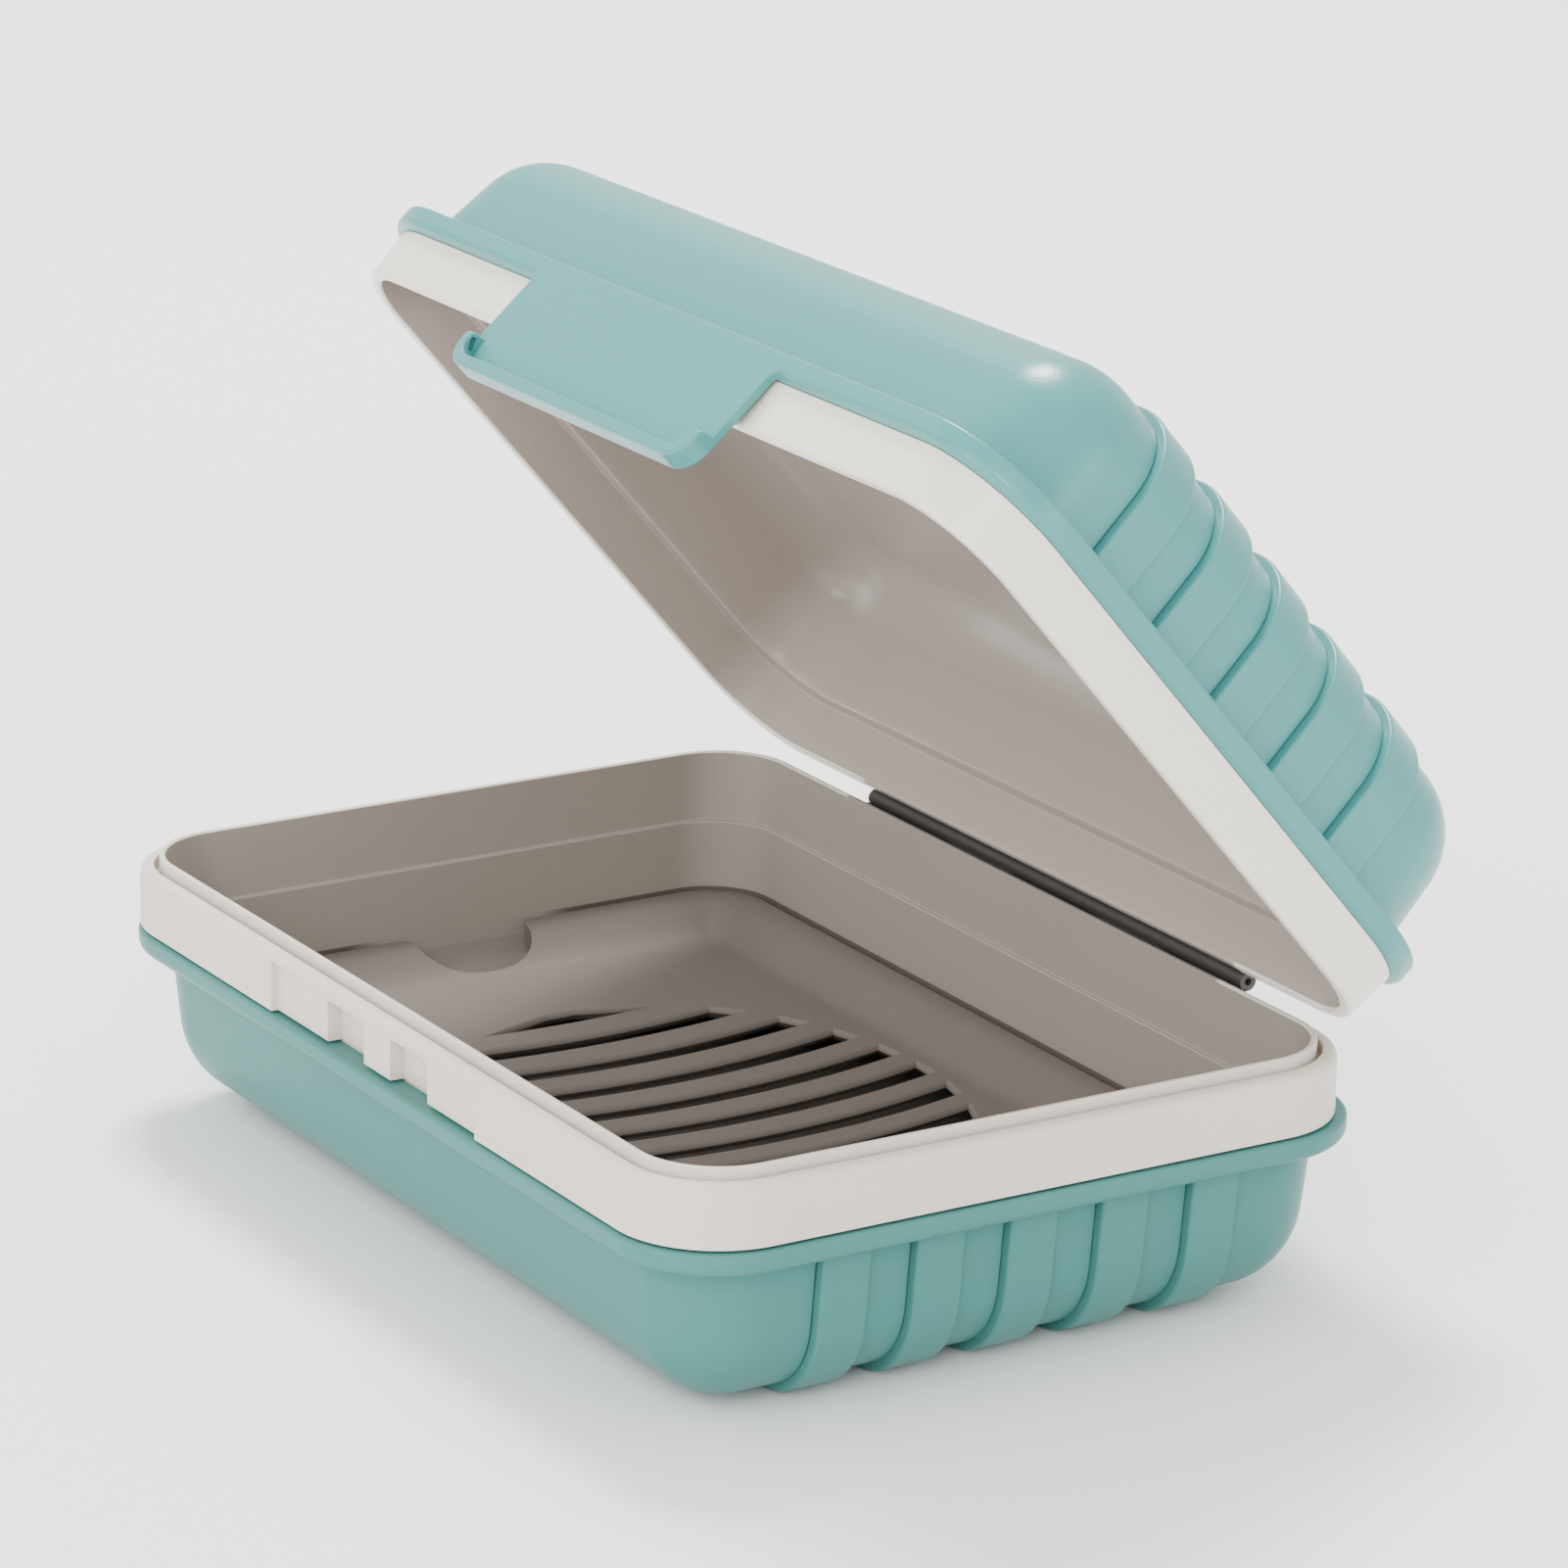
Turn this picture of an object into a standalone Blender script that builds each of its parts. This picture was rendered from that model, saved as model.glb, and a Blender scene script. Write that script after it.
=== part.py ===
"""Travel soap dish: a lined base, a lined lid on a pin hinge, a loose drain tray and a snap tab.

Metres, +Z up. X runs along the box, -Y is the side of the tab and +Y the side of the hinge.
The origin lies under the middle of the base, on the plane that the base rests on.
All pieces of the lid are modelled with the lid shut, and the lid is then turned open on its hinge.
"""

import math

import bmesh
import bpy
from mathutils import Matrix, Vector

# Band that shows between the two shells
band_length = 0.1200
band_width = 0.0813
band_corner_radius = 0.0109
band_edge_round = 0.0009
seam_gap = 0.0003

# Rim of the base lining, seen from above: band, channel, lip
base_band_height = 0.0068
channel_outer_inset = 0.00115
channel_depth = 0.0006
lip_outer_inset = 0.00205
lip_inner_inset = 0.00265
lip_rise = 0.0011
lip_edge_round = 0.0002

# Shell of the base
base_depth = 0.0192
base_side_set_back = 0.00295
base_front_set_back = 0.00273
base_back_set_back = 0.00111
base_wall_radius = 0.0096
base_draft = 0.0018
base_edge_round = 0.0098
shell_wall = 0.0011

# Hollow flanges round the mouths of both shells
flange_height = 0.0026
pocket_inset = 0.0012
pocket_depth = 0.0015
base_flange_reach = 0.00025
base_flange_back_reach = 0.0015
base_flange_seam_round = 0.0005
base_flange_wall_round = 0.0013
lid_flange_reach = 0.0008
lid_flange_front_reach = 0.0013
lid_flange_back_reach = 0.0012
lid_flange_seam_round = 0.0010
lid_flange_wall_round = 0.0004

# Straps over both shells
strap_count = 5
base_strap_pitch = 0.0107
base_strap_offset = 0.00125
lid_strap_pitch = 0.0108
strap_width = 0.0056
strap_height = 0.0010
strap_round = 0.00035
strap_root = 0.0007

# Lining of the base
lining_gap = 0.0003
lining_wall = 0.0008
base_tub_depth = 0.0161
base_tub_round = 0.0065
ledge_height = 0.0005
cavity_inset = 0.0050
cavity_corner_radius = 0.0080
cavity_draft = 0.00065
tray_seat_depth = 0.0089
tray_seat_width = 0.00125
base_floor_round = 0.0045

# Lid, measured with the lid shut
lid_open_angle = math.radians(49.0)
lid_extra_length = 0.00125
lid_extra_width = 0.00043
lid_corner_radius = 0.0115
lid_band_height = 0.00567
lid_rim_lean = 0.0005
lid_rim_inner_inset = 0.00192
lid_rim_round = 0.0003
lid_step_height = 0.0060
lid_step_inset = 0.0023
lid_cavity_inset = 0.0044
lid_cavity_corner_radius = 0.0095
lid_depth = 0.0183
lid_side_set_back = 0.0023
lid_front_set_back = 0.00204
lid_back_set_back = 0.0017
lid_wall_radius = 0.0105
lid_draft = 0.0015
lid_edge_round = 0.0092

# Hinge behind the band
hinge_length = 0.0710
hinge_reach = 0.0012
knuckle_count = 5
knuckle_radius = 0.0013
knuckle_gap = 0.0003
pin_radius = 0.0005
pin_clearance = 0.0003
leaf_thickness = 0.0006
leaf_height = 0.0032
leaf_seat_depth = 0.0009
leaf_gap = 0.0003

# Snap tab under the front flange of the lid
tab_width = 0.0464
tab_thickness = 0.0010
tab_root_height = 0.0066
tab_drop = 0.0073
tab_corner_radius = 0.0030
tab_gap = 0.0003
tab_rim_width = 0.0014
tab_rim_rise = 0.0016
tab_rim_round = 0.0005
tab_rim_climb = 0.0042
hook_length = 0.0069
hook_height = 0.0032
hook_lift = 0.0009
hook_reach = 0.00115
hook_slope = 0.0007
hook_nose_share = 0.33

# Recess in the front of the base band, with a catch for each hook
recess_width = 0.0430
recess_depth = 0.0008
catch_count = 2
catch_pitch = 0.0133
catch_length = 0.0077
catch_height = 0.0044
catch_depth = 0.0012

# Drain tray
tray_gap = 0.0003
tray_thickness = 0.0015
tray_flat_depth = 0.0100
tray_border_depth = 0.0071
tray_border_width = 0.0062
tray_edge_round = 0.0003
tray_foot_width = 0.0013
tray_belly_inset = 0.0034
slot_count = 9
first_slot_place = -0.0306
slot_pitch = 0.0074
slot_pitch_loss = 0.00018
slot_width = 0.0030
slot_arc_radius = 0.0950
slot_field_half_length = 0.0322
slot_field_half_width = 0.0250
slot_edge_round = 0.0006
notch_width = 0.0140
notch_depth = 0.0072
notch_mouth_round = 0.0020

# Fineness of the round surfaces
corner_steps = 6
edge_steps = 5
strap_edge_steps = 6
small_round_steps = 2
circle_steps = 16
slot_steps = 8
slot_end_steps = 3
slot_span_passes = 12
slot_span_first_share = 0.5
smooth_angle = math.radians(35.0)
least_radius = 0.0003
overrun = 0.0010

# Places worked out from the sizes above
seam_height = base_depth + strap_height
base_band_top = seam_height + base_band_height
lid_rim_plane = base_band_top + seam_gap
lid_seam_height = lid_rim_plane + lid_band_height
half_length = band_length / 2
half_width = band_width / 2
lid_half_length = (band_length + lid_extra_length) / 2
lid_half_width = (band_width + lid_extra_width) / 2
hinge_axis = Vector((0.0, half_width + hinge_reach, lid_rim_plane))
tab_face = -(lid_half_width + lid_flange_front_reach)
tab_top = lid_rim_plane + tab_root_height - tab_gap
tab_bottom = lid_rim_plane - tab_drop
tab_axis = Vector((0.0, tab_face + tab_thickness / 2, tab_top))


def clear_scene():
    """Start from an empty scene."""
    for item in list(bpy.data.objects):
        bpy.data.objects.remove(item, do_unlink=True)


def plastic(name, colour, roughness):
    """A Principled plastic."""
    material = bpy.data.materials.new(name)
    material.use_nodes = True
    shader = material.node_tree.nodes["Principled BSDF"]
    shader.inputs["Base Color"].default_value = (*colour, 1.0)
    shader.inputs["Roughness"].default_value = roughness
    shader.inputs["Metallic"].default_value = 0.0
    material.diffuse_color = (*colour, 1.0)
    return material


def make_materials():
    """One finish for each piece."""
    return {
        "base_shell": plastic("base_teal", (0.20, 0.38, 0.36), 0.42),
        "lid_shell": plastic("lid_teal", (0.30, 0.51, 0.49), 0.42),
        "snap_tab": plastic("tab_teal", (0.34, 0.54, 0.52), 0.42),
        "base_liner": plastic("base_lining", (0.68, 0.65, 0.62), 0.45),
        "lid_liner": plastic("lid_lining", (0.72, 0.69, 0.66), 0.45),
        "drain_tray": plastic("tray_greige", (0.40, 0.36, 0.33), 0.50),
        "hinge_base_leaf": plastic("base_leaf_black", (0.05, 0.047, 0.045), 0.50),
        "hinge_lid_leaf": plastic("lid_leaf_black", (0.05, 0.047, 0.045), 0.50),
        "hinge_pin": plastic("pin_grey", (0.30, 0.30, 0.30), 0.35),
    }


def arc(centre, radius, start, end, steps):
    """Points of a flat arc from one angle in degrees to another."""
    points = []
    for step in range(steps + 1):
        angle = math.radians(start + (end - start) * step / steps)
        points.append((centre[0] + radius * math.cos(angle), centre[1] + radius * math.sin(angle)))
    return points


class Outline:
    """A rounded rectangle seen from above, from which the walls are inset."""

    def __init__(self, reach, front, back, radius):
        self.reach = reach
        self.front = front
        self.back = back
        self.radius = radius

    def shrunk(self, inset):
        """The same outline with every side moved in."""
        return Outline(self.reach - inset, self.front + inset, self.back - inset, self.radius - inset)

    def ring(self, inset, height):
        """Points round the outline at one height, counterclockwise from above."""
        small = self.shrunk(inset)
        radius = max(small.radius, least_radius)
        right = small.reach - radius
        front = small.front + radius
        back = small.back - radius
        points = []
        for x, y, start in ((right, front, -90), (right, back, 0), (-right, back, 90), (-right, front, 180)):
            for px, py in arc((x, y), radius, start, start + 90, corner_steps):
                points.append((px, py, height))
        return points


def new_object(name, builder, material=None):
    """Make an object from a bmesh, with its faces turned out and its round faces smooth."""
    bmesh.ops.recalc_face_normals(builder, faces=builder.faces)
    mesh = bpy.data.meshes.new(name)
    builder.to_mesh(mesh)
    builder.free()
    item = bpy.data.objects.new(name, mesh)
    bpy.context.collection.objects.link(item)
    if material is not None:
        mesh.materials.append(material)
    mesh.shade_smooth()
    mesh.set_sharp_from_angle(angle=smooth_angle)
    return item


def stack(name, rings, material=None):
    """Join closed rings with equal counts into one solid, capped at both ends."""
    builder = bmesh.new()
    rows = []
    for ring in rings:
        rows.append([builder.verts.new(point) for point in ring])
    for lower, upper in zip(rows, rows[1:]):
        for index in range(len(lower)):
            following = (index + 1) % len(lower)
            builder.faces.new((lower[index], lower[following], upper[following], upper[index]))
    builder.faces.new(rows[0])
    builder.faces.new(rows[-1])
    return new_object(name, builder, material)


def block(name, x_range, y_range, z_range):
    """A box given by its reach along each axis."""
    rings = []
    for z in z_range:
        rings.append([
            (x_range[0], y_range[0], z),
            (x_range[1], y_range[0], z),
            (x_range[1], y_range[1], z),
            (x_range[0], y_range[1], z),
        ])
    return stack(name, rings)


def rod(name, start, end, radius, material=None):
    """A round bar along the hinge."""
    rings = []
    for x in (start, end):
        circle = arc((hinge_axis.y, hinge_axis.z), radius, 0, 360, circle_steps)[:-1]
        rings.append([(x, y, z) for y, z in circle])
    return stack(name, rings, material)


def merged(name, items):
    """Join tools that don't touch into one object."""
    builder = bmesh.new()
    for item in items:
        builder.from_mesh(item.data)
        bpy.data.objects.remove(item, do_unlink=True)
    return new_object(name, builder)


def combine(target, tool, operation):
    """Apply a hidden tool to a target with an exact Boolean."""
    modifier = target.modifiers.new(tool.name, 'BOOLEAN')
    modifier.operation = operation
    modifier.solver = 'EXACT'
    modifier.object = tool
    tool.hide_render = True
    tool.display_type = 'WIRE'
    return tool


def cut(target, tool):
    """Take a tool's shape out of a target."""
    return combine(target, tool, 'DIFFERENCE')


def fuse(target, tool):
    """Mould a tool's shape onto a target."""
    return combine(target, tool, 'UNION')


def carry(items, carrier, origin):
    """Hang pieces and their tools on a carrier, which stands at the origin given while the lid is shut."""
    for item in items:
        item.data.transform(Matrix.Translation(-origin))
        item.parent = carrier


def drafted_path(top, depth, draft, edge_round, offset, steps=edge_steps):
    """Inset and depth of a drafted wall and the round at its foot, moved out by an offset."""
    round_start = depth - edge_round
    inset = draft * (round_start - flange_height) / (base_depth - flange_height)
    return [(-offset, top)] + arc((inset + edge_round, round_start), edge_round + offset, 180, 90, steps)


def band_outline():
    """Outer face of the base band."""
    return Outline(half_length, -half_width, half_width, band_corner_radius)


def lid_band_outline():
    """Outer face of the lid band at the lid's seam."""
    return Outline(lid_half_length, -lid_half_width, lid_half_width, lid_corner_radius)


def base_wall_outline():
    """Outer face of the base shell just under its flange."""
    front = -half_width + base_front_set_back
    return Outline(half_length - base_side_set_back, front, half_width - base_back_set_back, base_wall_radius)


def lid_wall_outline():
    """Outer face of the lid shell just over its flange."""
    front = -lid_half_width + lid_front_set_back
    back = lid_half_width - lid_back_set_back
    return Outline(lid_half_length - lid_side_set_back, front, back, lid_wall_radius)


def cavity_outline():
    """Inner wall of the base lining at its ledge."""
    inner = band_outline().shrunk(cavity_inset)
    return Outline(inner.reach, inner.front, inner.back, cavity_corner_radius)


def lid_cavity_outline():
    """Inner wall of the lid lining at its step."""
    inner = lid_band_outline().shrunk(lid_cavity_inset)
    return Outline(inner.reach, inner.front, inner.back, lid_cavity_corner_radius)


class Level:
    """Heights measured as a depth from a shell's seam: down in the base, up in the lid."""

    def __init__(self, seam, side):
        self.seam = seam
        self.side = side

    def at(self, depth):
        return self.seam + self.side * depth


base_level = Level(seam_height, -1)
lid_level = Level(lid_seam_height, 1)


def shell_rings(wall, band, flange, level, depth, draft, edge_round, seam_round, wall_round):
    """Rings of a shell from its inner face, over the flange, to its outer face."""
    rings = []
    for inset, deep in reversed(drafted_path(pocket_depth, depth, draft, edge_round, -shell_wall)):
        rings.append(wall.ring(inset, level.at(deep)))
    rings.append(band.ring(pocket_inset, level.at(pocket_depth)))
    rings.append(band.ring(pocket_inset, level.at(0)))
    for inset, deep in arc((seam_round, seam_round), seam_round, 270, 180, small_round_steps):
        rings.append(flange.ring(inset, level.at(deep)))
    foot = flange_height - wall_round
    for inset, deep in arc((wall_round, foot), wall_round, 180, 90, small_round_steps + 1):
        rings.append(flange.ring(inset, level.at(deep)))
    for inset, deep in drafted_path(flange_height, depth, draft, edge_round, 0):
        rings.append(wall.ring(inset, level.at(deep)))
    return rings


def strap(name, y, reach, level, depth, draft, edge_round):
    """One raised strap, from the flange at one end, over the floor, to the flange at the other end."""
    half = strap_width / 2
    inner = half - strap_round
    shoulder = strap_height - strap_round
    section = [(-half, -strap_root)]
    section += arc((-inner, shoulder), strap_round, 180, 90, small_round_steps)
    section += arc((inner, shoulder), strap_round, 90, 0, small_round_steps)
    section += [(half, -strap_root)]
    paths = []
    for across, rise in section:
        side = drafted_path(flange_height - strap_root, depth, draft, edge_round, rise, strap_edge_steps)
        right = [(reach - inset, y + across, level.at(deep)) for inset, deep in side]
        left = [(-px, py, pz) for px, py, pz in reversed(right)]
        paths.append(right + left)
    rings = [[path[index] for path in paths] for index in range(len(paths[0]))]
    return stack(name, rings)


def straps(name, pitch, offset, reach, level, depth, draft, edge_round):
    """All straps of one shell, whose middle strap lies at the offset."""
    items = []
    for index in range(strap_count):
        y = offset + (index - (strap_count - 1) / 2) * pitch
        items.append(strap(name, y, reach, level, depth, draft, edge_round))
    return merged(name, items)


def make_base_shell(material):
    """Teal bowl of the base with its flange and straps."""
    wall = base_wall_outline()
    band = band_outline()
    radius = band_corner_radius + base_flange_reach
    reach = half_length + base_flange_reach
    front = -half_width - base_flange_reach
    flange = Outline(reach, front, half_width + base_flange_back_reach, radius)
    rings = shell_rings(wall, band, flange, base_level, base_depth, base_draft, base_edge_round,
                        base_flange_seam_round, base_flange_wall_round)
    shell = stack("base_shell", rings, material)
    fuse(shell, straps("base_straps", base_strap_pitch, base_strap_offset, wall.reach,
                       base_level, base_depth, base_draft, base_edge_round))
    return shell


def make_lid_shell(material):
    """Teal bowl of the lid, with the flange cut back where the snap tab hangs."""
    wall = lid_wall_outline()
    band = lid_band_outline()
    radius = lid_corner_radius + lid_flange_reach
    reach = lid_half_length + lid_flange_reach
    flange = Outline(reach, tab_face, lid_half_width + lid_flange_back_reach, radius)
    rings = shell_rings(wall, band, flange, lid_level, lid_depth, lid_draft, lid_edge_round,
                        lid_flange_seam_round, lid_flange_wall_round)
    shell = stack("lid_shell", rings, material)
    bars = fuse(shell, straps("lid_straps", lid_strap_pitch, 0, wall.reach,
                              lid_level, lid_depth, lid_draft, lid_edge_round))
    side = tab_width / 2 + tab_gap
    behind = tab_face + tab_thickness + tab_gap
    seat = block("tab_seat", (-side, side), (tab_face - overrun, behind),
                 (lid_seam_height - overrun, tab_top + tab_gap))
    cut(shell, seat)
    return [shell, bars, seat]


def make_base_liner(material):
    """Off-white lining of the base: tub, tray seat, ledge, lip, channel and band."""
    band = band_outline()
    cavity = cavity_outline()
    tub = base_wall_outline().shrunk(shell_wall + lining_gap)
    level = base_level
    floor = base_tub_depth - lining_wall
    seat_inner = cavity_draft + tray_seat_width
    rings = []
    foot = (seat_inner + base_floor_round, floor - base_floor_round)
    for inset, deep in arc(foot, base_floor_round, 90, 180, edge_steps):
        rings.append(cavity.ring(inset, level.at(deep)))
    rings.append(cavity.ring(seat_inner, level.at(tray_seat_depth)))
    rings.append(cavity.ring(cavity_draft, level.at(tray_seat_depth)))
    rings.append(cavity.ring(0, level.at(-ledge_height)))
    rings.append(band.ring(lip_inner_inset, level.at(-ledge_height)))
    lip_top = base_band_height + lip_rise
    rings.append(band.ring(lip_inner_inset, level.at(lip_edge_round - lip_top)))
    rings.append(band.ring(lip_inner_inset - lip_edge_round, level.at(-lip_top)))
    rings.append(band.ring(lip_outer_inset + lip_edge_round, level.at(-lip_top)))
    rings.append(band.ring(lip_outer_inset, level.at(lip_edge_round - lip_top)))
    channel_floor = base_band_height - channel_depth
    rings.append(band.ring(lip_outer_inset, level.at(-channel_floor)))
    rings.append(band.ring(channel_outer_inset, level.at(-channel_floor)))
    rings.append(band.ring(channel_outer_inset, level.at(-base_band_height)))
    shoulder = base_band_height - band_edge_round
    for inset, rise in arc((band_edge_round, shoulder), band_edge_round, 90, 180, small_round_steps + 1):
        rings.append(band.ring(inset, level.at(-rise)))
    rings.append(band.ring(0, level.at(-seam_gap)))
    rings += liner_back_rings(band, tub, level, base_tub_depth, base_draft, base_tub_round)
    liner = stack("base_liner", rings, material)
    cut_front_recess(liner)
    cut_leaf_seat(liner, base_band_height + overrun, -leaf_seat_reach())
    return liner


def liner_back_rings(band, tub, level, depth, draft, edge_round):
    """Rings of a lining behind its band: shoulder in the flange pocket, then the hidden side of the tub."""
    shoulder = pocket_inset + lining_gap
    root = pocket_depth - lining_gap
    rings = [band.ring(shoulder, level.at(-seam_gap)), band.ring(shoulder, level.at(root))]
    for inset, deep in drafted_path(root, depth, draft, edge_round, 0):
        rings.append(tub.ring(inset, level.at(deep)))
    return rings


def cut_front_recess(liner):
    """Recess for the snap tab in the front of the base band, and the catches for its hooks."""
    side = recess_width / 2
    floor = recess_depth - half_width
    top = base_band_top + overrun
    recess = block("tab_recess", (-side, side), (-half_width - overrun, floor), (seam_height, top))
    cut(liner, recess)
    catches = []
    for index in range(catch_count):
        x = (index - (catch_count - 1) / 2) * catch_pitch
        reach = (x - catch_length / 2, x + catch_length / 2)
        depth = (-half_width - overrun, floor + catch_depth)
        catches.append(block("catch", reach, depth, (seam_height, seam_height + seam_gap + catch_height)))
    cut(liner, merged("hook_catches", catches))


def leaf_seat_reach():
    """How far a leaf's seat runs from the hinge axis."""
    return knuckle_radius + knuckle_gap + leaf_height + leaf_gap


def cut_leaf_seat(liner, start, end):
    """Flat seat for a hinge leaf in the back of a band, between two heights from the hinge axis."""
    side = hinge_length / 2 + leaf_gap
    floor = half_width - leaf_seat_depth
    heights = sorted((hinge_axis.z + start, hinge_axis.z + end))
    seat = block("leaf_seat", (-side, side), (floor, hinge_axis.y + overrun), heights)
    return cut(liner, seat)


def make_lid_liner(material):
    """Off-white lining of the lid: tub, step, rim and band."""
    band = lid_band_outline()
    cavity = lid_cavity_outline()
    hidden = shell_wall + lining_gap
    tub = lid_wall_outline().shrunk(hidden)
    level = lid_level
    tub_depth = lid_depth - hidden
    tub_round = lid_edge_round - hidden
    step = lid_step_height - lid_band_height
    inner_path = drafted_path(step, tub_depth - lining_wall, lid_draft, tub_round - lining_wall, 0)
    rings = []
    for inset, deep in reversed(inner_path):
        rings.append(cavity.ring(inset, level.at(deep)))
    rings.append(band.ring(lid_step_inset, level.at(step)))
    edge = lid_rim_plane + lid_rim_round
    rings.append(band.ring(lid_rim_inner_inset, edge))
    rings.append(band.ring(lid_rim_inner_inset - lid_rim_round, lid_rim_plane))
    rings.append(band.ring(lid_rim_lean + lid_rim_round, lid_rim_plane))
    rings.append(band.ring(lid_rim_lean, edge))
    rings.append(band.ring(0, level.at(-seam_gap)))
    rings += liner_back_rings(band, tub, level, tub_depth, lid_draft, tub_round)
    liner = stack("lid_liner", rings, material)
    seat = cut_leaf_seat(liner, -overrun, leaf_seat_reach())
    return [liner, seat]


def make_leaf(name, side, first_knuckle, material):
    """One hinge leaf: a plate with every second knuckle. Side is -1 below the axis and 1 above."""
    plate_back = half_width - leaf_seat_depth + leaf_gap
    start = knuckle_radius + knuckle_gap
    reach = hinge_length / 2
    heights = sorted((hinge_axis.z + side * start, hinge_axis.z + side * (start + leaf_height)))
    plate = block(name, (-reach, reach), (plate_back, plate_back + leaf_thickness), heights)
    plate.data.materials.append(material)
    pitch = (hinge_length + knuckle_gap) / knuckle_count
    web_ends = (side * knuckle_gap, side * (start + leaf_thickness))
    web_heights = sorted(hinge_axis.z + end for end in web_ends)
    webs = []
    barrels = []
    for index in range(first_knuckle, knuckle_count, 2):
        left = index * pitch - reach
        right = left + pitch - knuckle_gap
        webs.append(block("web", (left, right), (plate_back, hinge_axis.y), web_heights))
        barrels.append(rod("barrel", left, right, knuckle_radius))
    tools = [fuse(plate, merged(name + "_webs", webs)), fuse(plate, merged(name + "_barrels", barrels))]
    bore = rod(name + "_bore", -reach - overrun, reach + overrun, pin_radius + pin_clearance)
    tools.append(cut(plate, bore))
    return [plate] + tools


def make_pin(material):
    """Pin through all knuckles."""
    return rod("hinge_pin", -hinge_length / 2, hinge_length / 2, pin_radius, material)


def tab_path():
    """Foot of the tab from one side to the other: places with the direction that points into the tab."""
    side = tab_width / 2
    start = tab_bottom + tab_rim_climb
    centre = side - tab_corner_radius
    height = tab_bottom + tab_corner_radius
    places = [((-side, start), (1.0, 0.0))]
    for x, first in ((-centre, 180), (centre, 270)):
        for px, pz in arc((x, height), tab_corner_radius, first, first + 90, corner_steps):
            inward = ((x - px) / tab_corner_radius, (height - pz) / tab_corner_radius)
            places.append(((px, pz), inward))
    places.append(((side, start), (-1.0, 0.0)))
    return places


def make_tab(material):
    """Snap tab: a plate with round lower corners, a raised rim round its foot and a hook for each catch."""
    side = tab_width / 2
    foot = [place for place, inward in tab_path()]
    outline = [(side, tab_top), (-side, tab_top)] + foot
    back = tab_face + tab_thickness
    rings = [[(x, y, z) for x, z in outline] for y in (back, tab_face)]
    plate = stack("snap_tab", rings, material)
    section = [(0, -tab_thickness / 2)]
    section += arc((tab_rim_round, tab_rim_rise - tab_rim_round), tab_rim_round, 180, 90, small_round_steps)
    inner = tab_rim_width - tab_rim_round
    section += arc((inner, tab_rim_rise - tab_rim_round), tab_rim_round, 90, 0, small_round_steps)
    section += [(tab_rim_width, -tab_thickness / 2)]
    rim_rings = []
    for (x, z), (along_x, along_z) in tab_path():
        rim_rings.append([(x + n * along_x, tab_face - rise, z + n * along_z) for n, rise in section])
    rim = fuse(plate, stack("tab_rim", rim_rings))
    return [plate, rim, fuse(plate, make_hooks())]


def make_hooks():
    """Hooks on the inner side of the tab, with a flat top that catches and a sloping foot."""
    back = tab_face + tab_thickness
    tip = back + hook_reach
    low = seam_height + hook_lift
    section = [
        (back - tab_thickness / 2, low),
        (back + hook_reach * hook_nose_share, low),
        (tip, low + hook_slope),
        (tip, low + hook_height),
        (back - tab_thickness / 2, low + hook_height),
    ]
    hooks = []
    for index in range(catch_count):
        x = (index - (catch_count - 1) / 2) * catch_pitch
        rings = [[(x + end * hook_length / 2, y, z) for y, z in section] for end in (-1, 1)]
        hooks.append(stack("hook", rings))
    return merged("tab_hooks", hooks)


def slot_half_span(radius, centre, wider):
    """Half the length across Y of a slot's edge, whose arc runs as far as the oval."""
    length = slot_field_half_length + wider
    width = slot_field_half_width + wider
    half = width * slot_span_first_share
    for _ in range(slot_span_passes):
        along = centre + math.sqrt(radius ** 2 - half ** 2)
        share = min(abs(along) / length, 1.0)
        half = (half + width * math.sqrt(1.0 - share ** 2)) / 2
    return half


def slot_outline(place, wider):
    """Outline of a slot from above: two arcs of one centre, with ends that follow the oval."""
    centre = place - slot_arc_radius
    half_slot = slot_width / 2 + wider
    outer = slot_arc_radius + half_slot
    inner = slot_arc_radius - half_slot
    outer_span = slot_half_span(outer, centre, wider)
    inner_span = slot_half_span(inner, centre, wider)
    reach = math.degrees(math.asin(outer_span / outer))
    points = arc((centre, 0.0), outer, -reach, reach, slot_steps)
    outer_end = points[-1]
    reach = math.degrees(math.asin(inner_span / inner))
    back = arc((centre, 0.0), inner, reach, -reach, slot_steps)
    inner_end = back[0]
    corners = []
    for step in range(1, slot_end_steps):
        share = step / slot_end_steps
        y = outer_end[1] + (inner_end[1] - outer_end[1]) * share
        x = outer_end[0] + (inner_end[0] - outer_end[0]) * share
        across = 1.0 - (y / (slot_field_half_width + wider)) ** 2
        oval = (slot_field_half_length + wider) * math.sqrt(max(across, 0.0))
        corners.append((max(-oval, min(oval, x)), y))
    points += corners + back
    points += [(x, -y) for x, y in reversed(corners)]
    return points


def slot_cutter(index, top, bottom):
    """A curved slot with rounded upper edges."""
    place = first_slot_place + slot_pitch * index - slot_pitch_loss * index * (index - 1) / 2
    levels = [(0.0, bottom - overrun)]
    levels += [
        (slot_edge_round - inward, height)
        for inward, height in arc((0.0, top - slot_edge_round), slot_edge_round, 0, 90, small_round_steps)
    ]
    levels.append((slot_edge_round, top + overrun))
    rings = []
    for wider, z in levels:
        rings.append([(x, y, z) for x, y in slot_outline(place, wider)])
    return stack("slot", rings)


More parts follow.
